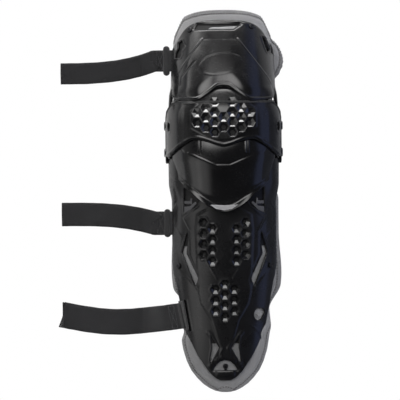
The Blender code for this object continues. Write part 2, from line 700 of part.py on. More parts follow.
def build_knee(parent):
    body = slab("knee_shell", knee_rows(0.0), knee_rows(KNEE_WALL))
    shell = place("knee_shell", body, "shell_black", parent)
    add_ears(shell, parent, [UPPER_PIVOT_Y, LOWER_PIVOT_Y], *EAR_OUTER)
    parts = [knee_soft_rows(0.0600, 0.0680, wall, 35) for wall in (0.0, LINER_WALL)]
    place("knee_liner", slab("knee_liner", *parts), "liner_grey", parent)
    parts = [knee_soft_rows(0.0546, 0.0626, wall, 28) for wall in (0.0, FOAM_WALL)]
    place("knee_foam", slab("knee_foam", *parts), "foam_black", parent)
    for level, pivot_y in (("upper", UPPER_PIVOT_Y), ("lower", LOWER_PIVOT_Y)):
        for side, sign in (("left", -1), ("right", 1)):
            outline = [(0.0670, 0), (0.0670, 0.0048), (0.0681, 0.0048), (0.0681, RIVET_R), (0.0763, RIVET_R),
                       (0.0763, HEAD_R), (0.0770, HEAD_R), (0.0777, HEAD_R * 0.7), (0.0777, 0)]
            place(f"{level}_pivot_{side}", turned("pivot", outline, (0, pivot_y, PIVOT_Z), (sign, 0, 0)),
                  "rivet_black", parent)
            ring = [(0.0718, HOLE_R), (0.0718, 0.0065), (0.0727, 0.0065), (0.0727, HOLE_R)]
            washer = turned("washer", ring, (0, pivot_y, PIVOT_Z), (sign, 0, 0), ring=True)
            place(f"{level}_washer_{side}", washer, "rivet_black", parent)


def shin_windows(shell, parent):
    side_windows = {
        "clip_window": [(-0.0524, -0.0420), (-0.0524, -0.0755), (-0.0345, -0.0670), (-0.0310, -0.0580)],
        "long_slot": [(-0.0485, -0.1000), (-0.0478, -0.1075), (-0.0505, -0.1285), (-0.0350, -0.1610),
                      (-0.0388, -0.1715), (-0.0565, -0.1275)],
        "ankle_vent": [(-0.0185, -0.2370), (-0.0090, -0.2525), (-0.0200, -0.2700), (-0.0175, -0.2515)],
    }
    for name, outline in side_windows.items():
        cut_window(shell, parent, f"{name}_left", outline)
        cut_window(shell, parent, f"{name}_right", mirrored(outline))
    cut_window(shell, parent, "half_moon", [(-0.0150, -0.2815), (0.0150, -0.2815), (0.0100, -0.2745),
                                            (0.0, -0.2705), (-0.0100, -0.2745)])
    cut_window(shell, parent, "keyhole", disc(KEYHOLE, 0.0062, 12))
    oval = [(MIDDLE_CATCH[0] + y * 2, MIDDLE_CATCH[1] + z) for y, z in disc((0, 0), 0.0030, 12)]
    combine(shell, cutter("side_oval", prism("side_oval", oval, "X", 0.05, 0.08), parent), "DIFFERENCE")


def build_shin(parent):
    shell = place("shin_shell", slab("shin_shell", shin_rows(0.0), shin_rows(WALL)), "shell_black", parent)
    add_ears(shell, parent, [LOWER_PIVOT_Y], *EAR_INNER)
    shin_windows(shell, parent)
    place("knee_cup", slab("knee_cup", cup_rows(0.0), cup_rows(WALL)), "shell_black", parent)
    ys = [-0.024] + [s for s in STATIONS if s < -0.036]
    parts = [shin_soft_rows(LINER_DROP, wall, ys, 0.0, (0.003, 0.007)) for wall in (0.0, LINER_WALL)]
    liner = place("shin_liner", slab("shin_liner", *parts), "liner_grey", parent)
    ys = [-0.034] + [s for s in STATIONS if -0.045 > s > -0.250]
    parts = [shin_soft_rows(FOAM_DROP, wall, ys, 0.012, (0.0, 0.0)) for wall in (0.0, FOAM_WALL)]
    place("shin_foam", slab("shin_foam", *parts), "foam_black", parent)
    for side, sign in (("left", -1), ("right", 1)):
        foot, head = shin_surface(sign * 0.040, -0.036), cup_surface(sign * 0.042, 0.0260)
        way = (head - foot).normalized()
        reach = (head - foot).length - WALL - 0.0030
        post = [(0.0012, 0), (0.0012, 0.0035), (reach, 0.0035), (reach, 0)]
        place(f"cup_post_{side}", turned("post", post, foot, way), "rivet_black", parent)
        centre, normal = shin_surface(sign * 0.0600, -0.1450), normal_of(shin_surface, sign * 0.0600, -0.1450)
        drill(shell, parent, f"shin_rivet_hole_{side}", centre, normal, 0.0023)
        stud(f"shin_rivet_{side}", parent, centre, normal, rivet_outline())
        add_clip(f"liner_clip_{side}", liner, parent, sign * 0.0455, -0.0640, 0.0026)
    add_clip("liner_post", liner, parent, 0.0, -0.2775, 0.0036)
    y, z = MIDDLE_CATCH
    stud("middle_catch", parent, Vector((shin_width(y), y, z)), (1, 0, 0), peg_outline(0.0048))
    centre, normal = shin_surface(*KEYHOLE), normal_of(shin_surface, *KEYHOLE)
    drill(liner, parent, "catch_recess", centre - normal * 0.0010, normal, 0.0080, 0.0036)
    stud("bottom_catch", parent, centre, normal, peg_outline(0.0073))
    bar = Vector((-(shin_width(-0.089) - WALL / 2), -0.089, SHELL_REAR_Z + BAR_HALF))
    along, inward = Vector((0, 1, 0)), Vector((0, 0, 1))
    add_strap("calf_strap", shell, liner, parent, bar, along, inward, 0.031, 9, -0.0765)
    y = -0.2100
    edge = shin_surface(-shin_edge_x(y), y)
    along = (shin_surface(-shin_edge_x(y + 0.01), y + 0.01) - shin_surface(-shin_edge_x(y - 0.01), y - 0.01))
    along.normalize()
    normal = normal_of(shin_surface, -shin_edge_x(y), y)
    inward = normal.cross(along).normalized()
    inward = inward if inward.x > 0 else -inward
    bar = edge + inward * BAR_HALF - normal * WALL / 2
    add_strap("ankle_strap", shell, liner, parent, bar, along, inward, 0.034, 34, -0.2100, 0.0050)


def add_clip(name, liner, parent, x, y, height):
    """A button that holds the liner and shows in a window of the shell."""
    centre, normal = shin_surface(x, y), normal_of(shin_surface, x, y)
    base = -LINER_DROP
    drill(liner, parent, f"{name}_hole", centre, normal, 0.0018, -base + 0.0030)
    outline = [(base - 0.0026, 0), (base - 0.0026, 0.0015), (base + 0.0006, 0.0015), (base + 0.0006, 0.0036),
               (base + height - 0.0004, 0.0036), (base + height, 0.0030), (base + height, 0)]
    stud(name, parent, centre, normal, outline)


def main():
    clear_scene()
    shin = pivot_empty("shin", Vector((0, 0, 0)))
    knee = pivot_empty("knee", Vector((0, LOWER_PIVOT_Y, PIVOT_Z)), shin)
    thigh = pivot_empty("thigh", Vector((0, UPPER_PIVOT_Y, PIVOT_Z)), knee)
    build_shin(shin)
    build_knee(knee)
    build_thigh(thigh)


main()
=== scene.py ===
"""Looks for the hinged knee and shin guard: moulded shells, padded liner, woven straps, fasteners.

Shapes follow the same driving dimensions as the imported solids. The design frame has x = 0 on the
guard's mid plane and y = 0 at the knee shell's lower edge; ROOT shifts it to the row frame.
Outlines and fields of the shells' features are written in millimetres of the design frame.
"""

import json
import math

import bpy
import numpy as np
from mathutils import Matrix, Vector


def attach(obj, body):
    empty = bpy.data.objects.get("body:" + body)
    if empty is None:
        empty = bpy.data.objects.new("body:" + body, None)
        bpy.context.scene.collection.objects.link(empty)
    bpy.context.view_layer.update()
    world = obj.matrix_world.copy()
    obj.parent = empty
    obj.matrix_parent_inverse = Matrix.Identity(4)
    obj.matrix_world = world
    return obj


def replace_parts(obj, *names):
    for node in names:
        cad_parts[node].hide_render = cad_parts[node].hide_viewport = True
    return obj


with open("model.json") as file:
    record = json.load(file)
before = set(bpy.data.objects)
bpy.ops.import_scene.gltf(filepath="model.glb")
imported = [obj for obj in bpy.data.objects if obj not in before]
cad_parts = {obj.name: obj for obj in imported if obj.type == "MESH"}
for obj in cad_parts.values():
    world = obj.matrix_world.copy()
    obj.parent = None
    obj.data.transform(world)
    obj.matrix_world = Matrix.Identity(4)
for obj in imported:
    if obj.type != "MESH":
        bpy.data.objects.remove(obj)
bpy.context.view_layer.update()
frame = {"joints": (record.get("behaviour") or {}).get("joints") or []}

LOWER_PIVOT_Y, UPPER_PIVOT_Y, PIVOT_Z = 0.003, 0.038, 0.046
hinge = next(j for j in frame["joints"] if j["name"] == "lower_knee_hinge")
ROOT = np.array(hinge["pos_m"]) - (0.0, LOWER_PIVOT_Y, PIVOT_Z)

FLANGE_TURN = math.radians(35)
THIGH_LEAN, CUP_LEAN = math.radians(28), math.radians(12)
KNEE_WIDTH, KNEE_DEPTH, KNEE_WALL = 0.0755, 0.078, 0.0025
FLANGE_WIDTH, FLANGE_DEPTH, WALL = 0.0713, 0.0745, 0.0022
THIGH_WIDTH, THIGH_DEPTH, THIGH_LENGTH = 0.0693, 0.078, 0.1164
SHELL_REAR_Z = 0.014
EDGE_GAP = 0.028
SHIN_TOP_Y, SHIN_TIP_Y = -0.030, -0.296
LINER_TOP_T = 0.1330
LINER_WALL, FOAM_WALL = 0.0050, 0.0090
KNEE_ARCH, SHIN_ARCH = 2.6, 2.3
LINER_DROP, FOAM_DROP, CURL = 0.0042, 0.0104, 0.013
STRAP_T, TURN_R, BAR_HALF = 0.0018, 0.0036, 0.0016
STRAP_END_X, PLY, HUMP_Z = -0.2120, 0.0021, 0.0094
HOOK_RUN, HOOK_TURN_R = 0.0900, 0.0029


# ---- curves shared with the solids, for whole arrays ----
def mix(low, high, share):
    return low + (high - low) * share


def unit(vector):
    return vector / np.linalg.norm(vector)


def ease(low, high, value):
    share = np.clip((value - low) / (high - low), 0.0, 1.0)
    return share * share * (3 - 2 * share)


def between(table, value, reach=0.0):
    """Read a short table of (position, value) pairs, averaged over `reach` to either side."""
    table = sorted(table)
    at, values = [p for p, _ in table], [v for _, v in table]
    return np.mean([np.interp(value + reach * s, at, values) for s in (-1, -0.5, 0, 0.5, 1)], axis=0)


def half_arch(width, depth, end, power, flare):
    angle = np.linspace(0, math.acos(max(end / depth, 0.0) ** (power / 2)), 181)
    x = width * np.sin(angle) ** (2 / power)
    r = depth * np.maximum(np.cos(angle), 0.0) ** (2 / power)
    if end < 0:
        run = np.linspace(0, end, 31)[1:]
        x, r = np.append(x, np.full(30, width)), np.append(r, run)
    return x + flare * (1 - ease(end, end + CURL, r)), r


def arch(width, depth, ends, columns, power=KNEE_ARCH, flares=(0.0, 0.0)):
    """Evenly spaced x and r of an arch, from its left end to its right end."""
    (lx, lr), (rx, rr) = (half_arch(width, depth, e, power, f) for e, f in zip(ends, flares))
    x, r = np.append(-lx[::-1], rx[1:]), np.append(lr[::-1], rr[1:])
    run = np.append(0, np.cumsum(np.hypot(np.diff(x), np.diff(r))))
    even = np.linspace(0, run[-1], columns)
    return np.interp(even, run, x), np.interp(even, run, r)


def arch_r(x, width, depth, power):
    return depth * np.maximum(1 - np.abs(x / width) ** power, 0.0) ** (1 / power)


def leaning(x, r, t, pivot_y, lean, way):
    """A point of a leaning section: r out of its front, t along it, away from its pivot."""
    s, c = math.sin(lean), math.cos(lean)
    return np.stack(np.broadcast_arrays(x, pivot_y + way * (r * s + t * c), PIVOT_Z + r * c - t * s), axis=-1)


def turned_point(x, r, angle, pivot_y):
    return np.stack(np.broadcast_arrays(x, pivot_y + r * np.sin(angle), PIVOT_Z + r * np.cos(angle)), axis=-1)


def lip_angle(x, r):
    lip_y = between([(0.0, 0.0892), (0.0085, 0.0885), (0.0310, 0.0722), (0.0350, 0.0705), (0.08, 0.0705)],
                    np.abs(x), 0.003)
    ratio = np.minimum(1.0, (lip_y - UPPER_PIVOT_Y) / np.maximum(r, 1e-4))
    return np.minimum(np.arcsin(ratio), math.radians(74))


def knee_foot(x):
    return between([(0.076, -0.007), (0.071, -0.004), (0.060, 0.006), (0.043, 0.0165), (0.034, 0.0170),
                    (0.021, 0.0135), (0.010, 0.0090), (0.0, 0.0065)], np.abs(x), 0.003)


def vee_y(x):
    """The knee cup's flared edge, a V with a round foot."""
    return -0.0745 + 1.12 * (np.hypot(x, 0.026) - 0.026)


def thigh_rear(t, clear_z):
    floor = (clear_z - PIVOT_Z + t * math.sin(THIGH_LEAN)) / math.cos(THIGH_LEAN)
    return max(0.003 - 0.5 * t, floor)


def shin_front_z(y):
    return between([(0.020, 0.115), (0.0, 0.110), (-0.032, 0.1045), (-0.074, 0.0985), (-0.137, 0.0895),
                    (-0.190, 0.0795), (-0.232, 0.0700), (-0.263, 0.0620), (-0.296, 0.0520),
                    (-0.312, 0.0460), (-0.330, 0.040)], y, 0.010)


def shin_base_z(y):
    return between([(0.0, 0.046), (-0.100, 0.042), (-0.200, 0.036), (-0.312, 0.028)], y)


def shin_width(y):
    return between([(0.0, 0.0693), (-0.060, 0.0683), (-0.140, 0.0683), (-0.166, 0.0670), (-0.200, 0.0620),
                    (-0.236, 0.0560), (-0.263, 0.0515), (-0.312, 0.0440)], y, 0.010)


def shin_edge_x(y):
    return between([(-0.157, 0.0655), (-0.190, 0.0597), (-0.232, 0.0515), (-0.263, 0.0360),
                    (-0.283, 0.0225), (-0.288, 0.0178), (-0.292, 0.0135), (-0.2945, 0.0092),
                    (-0.296, 0.0050)], y, 0.001)


def shin_surface(x, y):
    depth = shin_front_z(y) - shin_base_z(y)
    return np.array([x, y, shin_base_z(y) + arch_r(x, shin_width(y), depth, SHIN_ARCH)], float)


def thigh_surface(x, t):
    return leaning(x, arch_r(x, THIGH_WIDTH - 0.001, THIGH_DEPTH, KNEE_ARCH), t, UPPER_PIVOT_Y, THIGH_LEAN, 1)


def normal_of(surface, a, b):
    step = 0.001
    along, across = surface(a + step, b) - surface(a - step, b), surface(a, b + step) - surface(a, b - step)
    normal = unit(np.cross(along, across))
    return normal if normal[2] > 0 else -normal


# ---- grids of the shells' outer faces, in the design frame ----
def thigh_rows(count, columns):
    rows = []
    for share in np.linspace(0, 1, count):
        rear = thigh_rear(mix(0.096, 0.006, share), SHELL_REAR_Z - 0.0015)
        depth = THIGH_DEPTH + 0.0026 * math.sin(math.pi * share)
        x, r = arch(mix(0.0680, THIGH_WIDTH, share), depth, (rear, rear), columns)
        top = THIGH_LENGTH - 0.011 * np.minimum(np.abs(x / 0.057) ** 6, 1.3)
        top = top - 0.014 * (1 - ease(0.0, 0.030, r))
        lip = 0.006 * (1 - ease(0.0, 0.010, r))
        lip = lip + np.where(r > 0, r * np.tan(lip_angle(x, r) - THIGH_LEAN), 0.0)
        rows.append(leaning(x, r, mix(top, lip, share), UPPER_PIVOT_Y, THIGH_LEAN, 1))
    rows = np.array(rows)
    rows[..., 2] = np.maximum(rows[..., 2], SHELL_REAR_Z)
    return rows


def flange_rows(count, columns):
    x, r = arch(FLANGE_WIDTH, FLANGE_DEPTH, (0.008, 0.008), columns)
    start = lip_angle(x, r) + 0.010
    return np.array([turned_point(x, r, start - (FLANGE_TURN + 0.014) * s, UPPER_PIVOT_Y)
                     for s in np.linspace(0, 1, count)])


def knee_rows(count, columns):
    span = UPPER_PIVOT_Y - LOWER_PIVOT_Y
    x, r = arch(KNEE_WIDTH, KNEE_DEPTH, (0.008, 0.008), columns)
    top = span + KNEE_DEPTH * (lip_angle(x, r) - EDGE_GAP)
    drop = knee_foot(x)
    foot = np.where(drop >= 0, drop, KNEE_DEPTH * np.arcsin(np.maximum(drop / r, -0.5)))
    rows = []
    for share in np.linspace(0, 1, count):
        at = mix(top, foot, share)
        low = turned_point(x, r, at / KNEE_DEPTH, LOWER_PIVOT_Y)
        high = turned_point(x, r, (at - span) / KNEE_DEPTH, UPPER_PIVOT_Y)
        flat = np.stack([x, LOWER_PIVOT_Y + at, PIVOT_Z + r], axis=-1)
        rows.append(np.where((at > span)[:, None], high, np.where((at < 0)[:, None], low, flat)))
    return np.array(rows)


def cup_rows(count, columns):
    rows = []
    x, r = arch(FLANGE_WIDTH, FLANGE_DEPTH, (0.036, 0.036), columns)
    high = np.arcsin(knee_foot(x) / r) + FLANGE_TURN
    part = count * 3 // 5
    for share in np.linspace(0, 1, part):
        rows.append(turned_point(x, r, mix(high, -CUP_LEAN, share), LOWER_PIVOT_Y))
    for share in np.linspace(0, 1, count - part + 1)[1:]:
        x, r = arch(mix(FLANGE_WIDTH, 0.0660, share), FLANGE_DEPTH + 0.0020 * ease(0.7, 1, share),
                    (mix(0.036, 0.047, share),) * 2, columns)
        foot = (LOWER_PIVOT_Y - r * math.sin(CUP_LEAN) - vee_y(x)) / math.cos(CUP_LEAN)
        rows.append(leaning(x, r, foot * share, LOWER_PIVOT_Y, CUP_LEAN, -1))
    return np.array(rows)


def shin_rows(count, columns):
    rows = []
    for y in np.linspace(SHIN_TOP_Y, SHIN_TIP_Y, count):
        depth = shin_front_z(y) - shin_base_z(y)
        up = arch_r(shin_edge_x(y), shin_width(y), depth, SHIN_ARCH)
        rear = mix(SHELL_REAR_Z - shin_base_z(y), up, ease(-0.115, -0.165, y))
        x, r = arch(shin_width(y), depth, (rear, rear), columns, SHIN_ARCH)
        near = 1 - ease(0.0, 0.035, SHIN_TOP_Y - y)
        rise = 0.026 * (1 - ease(0.030, 0.052, r)) + 0.6 * np.minimum(r, 0.0)
        rows.append(np.stack([x, y + near * rise, shin_base_z(y) + r], axis=-1))
    return np.array(rows)


# ---- fields in the front view, in millimetres ----
def to_line(x, y, line):
    """Distance to a polyline."""
    best = np.full(np.shape(x), 1e9)
    for (ax, ay), (bx, by) in zip(line, line[1:]):
        dx, dy = bx - ax, by - ay
        share = np.clip(((x - ax) * dx + (y - ay) * dy) / (dx * dx + dy * dy), 0, 1)
        best = np.minimum(best, np.hypot(x - ax - share * dx, y - ay - share * dy))
    return best


def outside(x, y, outline):
    """Signed distance to a closed outline, positive outside it."""
    closed = outline + outline[:1]
    odd = np.zeros(np.shape(x), bool)
    for (ax, ay), (bx, by) in zip(closed, closed[1:]):
        if ay != by:
            odd ^= ((ay > y) != (by > y)) & (x < (bx - ax) * (y - ay) / (by - ay) + ax)
    return to_line(x, y, closed) * np.where(odd, -1, 1)


def bead(distance, width, tall):
    return tall * np.exp(-(distance / width) ** 2)


def front_view(points):
    """A grid's x and y in millimetres."""
    return points[..., 0] * 1000, points[..., 1] * 1000


# ---- building ----
def normals(points):
    n = np.cross(np.gradient(points, axis=1), np.gradient(points, axis=0))
    n /= np.linalg.norm(n, axis=-1, keepdims=True) + 1e-12
    return n if n[n.shape[0] // 2, n.shape[1] // 2, 2] > 0 else -n


def to_edges(points):
    """Each grid point's distance along the grid to its left, right, first and last edge."""
    out = []
    for axis in (1, 0):
        steps = np.linalg.norm(np.diff(points, axis=axis), axis=-1)
        pad = [(1, 0) if a == axis else (0, 0) for a in (0, 1)]
        run = np.cumsum(np.pad(steps, pad), axis=axis)
        out += [run, np.take(run, [-1], axis=axis) - run]
    return np.array(out)


def mesh_object(name, points, faces, body, made_of, sharp=40, edge=None):
    """One mesh that rides a body; `edge` is 0 at each point on a moulded edge and 1 away from them."""
    mesh = bpy.data.meshes.new(name)
    mesh.from_pydata((np.asarray(points) + ROOT).tolist(), [], [list(map(int, f)) for f in faces])
    mesh.validate()
    edge = np.ones(len(points)) if edge is None else edge
    mesh.attributes.new("edge", "FLOAT", "POINT").data.foreach_set("value", edge.astype(np.float32))
    mesh.materials.append(made_of)
    mesh.shade_smooth()
    mesh.set_sharp_from_angle(angle=math.radians(sharp))
    made = bpy.data.objects.new(name, mesh)
    bpy.context.scene.collection.objects.link(made)
    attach(made, body)
    return made


def ring_faces(rings, count, start=0):
    """The quads between rings of `count` points each."""
    faces = []
    for k in range(rings - 1):
        for j in range(count):
            a, b = start + k * count + j, start + k * count + (j + 1) % count
            faces.append([a, b, b + count, a + count])
    return faces


def solid_of(top, low, keep=None, flip=False):
    """Points and faces of the closed solid between two grids, cut along keep = 0."""
    rows, columns = top.shape[:2]
    ids = np.arange(rows * columns).reshape(rows, columns)
    f = (np.ones((rows, columns)) if keep is None else keep).ravel()
    solid = (f > 0).reshape(rows, columns)
    corners = np.stack([ids[:-1, :-1], ids[1:, :-1], ids[1:, 1:], ids[:-1, 1:]], axis=-1).reshape(-1, 4)
    count = solid.ravel()[corners].sum(axis=1)
    quads = corners[count == 4]
    cuts, extra, polys = {}, [], []

    def cut(inner, outer):
        if (inner, outer) not in cuts:
            cuts[inner, outer] = rows * columns + len(extra)
            extra.append((inner, outer, float(np.clip(f[inner] / (f[inner] - f[outer]), 0.06, 0.94))))
        return cuts[inner, outer]

    for corner in corners[(count > 0) & (count < 4)].tolist():
        poly = []
        for here, there in zip(corner, corner[1:] + corner[:1]):
            if f[here] > 0:
                poly.append(here)
            if (f[here] > 0) != (f[there] > 0):
                poly.append(cut(here, there) if f[here] > 0 else cut(there, here))
        polys.append(poly)
    sheets = []
    for grid in (top, low):
        flat = grid.reshape(-1, 3)
        if extra:
            a, b, share = (np.array(v) for v in zip(*extra))
            flat = np.concatenate([flat, flat[a] + (flat[b] - flat[a]) * share[:, None]])
        sheets.append(flat)
    total = len(sheets[0])
    edges = [np.stack([quads, np.roll(quads, -1, axis=1)], axis=-1).reshape(-1, 2)]
    for poly in polys:
        edges.append(np.array([poly, poly[1:] + poly[:1]]).T)
    edges = np.concatenate(edges)
    open_edges = edges[~np.isin(edges[:, 0] * total + edges[:, 1], edges[:, 1] * total + edges[:, 0])]
    faces = quads.tolist() + polys
    faces += [[i + total for i in reversed(face)] for face in faces]
    faces += [[b, a, a + total, b + total] for a, b in open_edges.tolist()]
    if flip:
        faces = [face[::-1] for face in faces]
    used = np.unique(np.concatenate([np.array(face) for face in faces]))
    new = np.full(2 * total, -1)
    new[used] = np.arange(len(used))
    points = np.concatenate(sheets)[used]
    source = used % total
    for index, (a, _, _) in enumerate(extra):
        source[source == rows * columns + index] = a
    return points, [new[face].tolist() for face in faces], source


def facing(points):
    """True where a grid's own winding already faces out of the front."""
    n = np.cross(np.gradient(points, axis=0), np.gradient(points, axis=1))
    return n[n.shape[0] // 2, n.shape[1] // 2, 2] > 0


def shell(points, wall, keep=None, height=0.0, rounding=0.0010):
    """A moulded skin: its outer face raised by `height`, cut where `keep` (in mm) is not positive."""
    n = normals(points)
    inside = np.min(to_edges(points), axis=0)
    if keep is not None:
        keep = keep / 1000
        inside = np.minimum(inside, keep)
    near = np.clip(inside, 0, rounding)
    drop = rounding - np.sqrt(rounding ** 2 - (rounding - near) ** 2)
    top = points + n * (height - drop)[..., None]
    low = points + n * (np.minimum(height, 0.0) - wall)[..., None]
    verts, faces, source = solid_of(top, low, keep, not facing(points))
    return verts, faces, np.clip(inside.ravel()[source] / 0.005, 0, 1), top, n


def join_parts(parts):
    """One mesh's points, faces and edge values from several."""
    points, faces, edge, start = [], [], [], 0
    for verts, part_faces, part_edge in parts:
        points.append(verts)
        faces += [[i + start for i in face] for face in part_faces]
        edge.append(part_edge)
        start += len(verts)
    return np.concatenate(points), faces, np.concatenate(edge)


def skin_piece(name, points, wall, keep, body, made_of, height=0.0, rounding=0.0003):
    """A thin piece of its own, cut from a skin where `keep` (in mm) is positive."""
    verts, faces, edge, _, _ = shell(points, wall, keep, height, rounding)
    mesh_object(name, verts, faces, body, made_of, 38, edge)


def moulded(name, body, made_of, parts):
    """A shell and the plates moulded with it, as one mesh in place of the solid called `name`."""
    verts, faces, edge = join_parts([part[:3] for part in parts])
    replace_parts(mesh_object(f"{name}_moulded", verts, faces, body, made_of, 38, edge), name)


# ---- materials ----
def shader_of(name, colour, roughness, **sockets):
    """A new material, its node tree, its shader and the socket of its object coordinates."""
    made = bpy.data.materials.new(name)
    made.use_nodes = True
    tree = made.node_tree
    shader = tree.nodes["Principled BSDF"]
    shader.inputs["Base Color"].default_value = (*colour, 1)
    shader.inputs["Roughness"].default_value = roughness
    for key, value in sockets.items():
        shader.inputs[key.replace("_", " ")].default_value = value
    return made, tree, shader, node(tree, "ShaderNodeTexCoord").outputs["Object"]


def tinted(colour, share, extra=0.0):
    return tuple(c * share + extra for c in colour)


def feed(tree, value, socket):
    """Link a socket to another's output, or give it a number or a colour."""
    if isinstance(value, bpy.types.NodeSocket):
        tree.links.new(value, socket)
    else:
        socket.default_value = (*value, 1) if isinstance(value, tuple) else value


def node(tree, kind, **values):
    """A node with its input sockets (spaces written as _) and settings filled in."""
    made = tree.nodes.new(kind)
    for key, value in values.items():
        socket = key.replace("_", " ")
        if socket in made.inputs:
            made.inputs[socket].default_value = value
        else:
            setattr(made, key, value)
    return made


def spread(tree, source, low, high, from_low=0.0, from_high=1.0):
    """A socket's values moved from one range to another."""
    made = node(tree, "ShaderNodeMapRange", From_Min=from_low, From_Max=from_high, To_Min=low, To_Max=high)
    tree.links.new(source, made.inputs["Value"])
    return made.outputs["Result"]


def mixed_colour(tree, share, low, high):
    made = node(tree, "ShaderNodeMix", data_type="RGBA")
    for socket, value in ((0, share), (6, low), (7, high)):
        feed(tree, value, made.inputs[socket])
    return made.outputs[2]


def joined(tree, operation, a, b):
    made = node(tree, "ShaderNodeMath", operation=operation)
    feed(tree, a, made.inputs[0])
    feed(tree, b, made.inputs[1])
    return made.outputs[0]


def plus(tree, total, *more):
    for value in more:
        total = joined(tree, "ADD", total, value)
    return total


def times(tree, total, *more):
    for value in more:
        total = joined(tree, "MULTIPLY", total, value)
    return total


def paint(tree, shader, share, low, high):
    tree.links.new(mixed_colour(tree, share, low, high), shader.inputs["Base Color"])


def bumped(tree, shader, height, strength, distance):
    made = node(tree, "ShaderNodeBump", Strength=strength, Distance=distance)
    tree.links.new(height, made.inputs["Height"])
    tree.links.new(made.outputs["Normal"], shader.inputs["Normal"])


def noise(tree, coordinates, scale, detail=2.0, rough=0.5):
    made = node(tree, "ShaderNodeTexNoise", Scale=scale, Detail=detail, Roughness=rough)
    tree.links.new(coordinates, made.inputs["Vector"])
    return made.outputs["Fac"]


def wave(tree, coordinates, axis, scale, distortion, detail_scale=1.0):
    made = node(tree, "ShaderNodeTexWave", Scale=scale, Distortion=distortion, Detail_Scale=detail_scale,
                bands_direction=axis)
    tree.links.new(coordinates, made.inputs["Vector"])
    return made.outputs["Fac"]


def moulded_plastic(name, colour, roughness, coat=0.0, grain=0.25, scratches=True):
    """Injection-moulded plastic: fine grain, uneven gloss, faint scuffs and paler worn edges."""
    made, tree, shader, here = shader_of(name, colour, roughness, Coat_Weight=coat, Coat_Roughness=0.12,
                                         IOR=1.5)
    patches = noise(tree, here, 38, 3)
    fine = noise(tree, here, 2600, 1)
    gloss = plus(tree, spread(tree, patches, roughness - 0.05, roughness + 0.07, 0.3, 0.7),
                 spread(tree, fine, -0.02, 0.02))
    if scratches:
        stretch = node(tree, "ShaderNodeMapping", Rotation=(0.3, 0.2, 0.9), Scale=(1, 14, 5))
        tree.links.new(here, stretch.inputs["Vector"])
        lines = noise(tree, stretch.outputs["Vector"], 150, 1)
        gloss = plus(tree, gloss, times(tree, spread(tree, lines, 0, 1, 0.70, 0.76), 0.12))
    edge = node(tree, "ShaderNodeAttribute", attribute_name="edge").outputs["Fac"]
    worn = times(tree, spread(tree, edge, 1, 0, 0.0, 0.22), spread(tree, patches, 0, 1, 0.42, 0.62))
    mottled = mixed_colour(tree, patches, tinted(colour, 0.85), tinted(colour, 1.2))
    paint(tree, shader, worn, mottled, tinted(colour, 2.4, 0.012))
    tree.links.new(gloss, shader.inputs["Roughness"])
    tree.links.new(spread(tree, edge, 0.18, 0.5, 0.0, 0.25), shader.inputs["Specular IOR Level"])
    bumped(tree, shader, fine, grain, 0.00004)
    return made


def knit_fabric(name, colour, pitch, depth, sheen, dark=0.7):
    """Knitted fabric: rows of small loops, a soft nap and uneven colour."""
    made, tree, shader, here = shader_of(name, colour, 0.92, Sheen_Weight=sheen, Sheen_Roughness=0.5)
    loops = [wave(tree, here, axis, 2 * math.pi / pitch / 20 * 3.18, 1.2, 3.0) for axis in "XYZ"]
    weave = times(tree, plus(tree, loops[0], loops[2]), loops[1])
    fuzz = noise(tree, here, 1800, 3, 0.7)
    mottle = noise(tree, here, 55, 4, 0.6)
    height = plus(tree, times(tree, weave, 0.5), times(tree, fuzz, 0.6))
    tone = plus(tree, times(tree, weave, 0.35), times(tree, mottle, 0.55))
    paint(tree, shader, spread(tree, tone, 0, 1, 0.1, 0.75), tinted(colour, dark), tinted(colour, 1.12))
    bumped(tree, shader, height, 0.7, depth)
    return made


def webbing(name, colour):
    """Woven elastic: ribs along the strap crossed by weft threads, from the strap's own UVs."""
    made, tree, shader, here = shader_of(name, colour, 0.85, Sheen_Weight=0.25, Sheen_Roughness=0.4)
    flat = node(tree, "ShaderNodeUVMap", uv_map="strap").outputs["UV"]
    ribs, weft = (wave(tree, flat, axis, 0.314 / pitch, 0.6) for axis, pitch in (("Y", 0.0011), ("X", 0.0014)))
    weave = times(tree, plus(tree, ribs, 0.35), plus(tree, weft, 0.5))
    tone = plus(tree, times(tree, weave, 0.4), times(tree, noise(tree, here, 90, 3), 0.5))
    paint(tree, shader, spread(tree, tone, 0, 1, 0.15, 0.9), tinted(colour, 0.6), tinted(colour, 1.35))
    bumped(tree, shader, plus(tree, weave, times(tree, noise(tree, here, 2500, 2), 0.4)), 0.6, 0.00025)
    return made


def coated_metal(name, colour, roughness):
    made, tree, shader, here = shader_of(name, colour, roughness, Metallic=0.7)
    grain = noise(tree, here, 900, 3)
    gloss = spread(tree, grain, roughness - 0.08, roughness + 0.12, 0.3, 0.7)
    tree.links.new(gloss, shader.inputs["Roughness"])
    paint(tree, shader, noise(tree, here, 260, 2), tinted(colour, 0.7), tinted(colour, 1.8, 0.004))
    bumped(tree, shader, grain, 0.3, 0.00005)
    return made


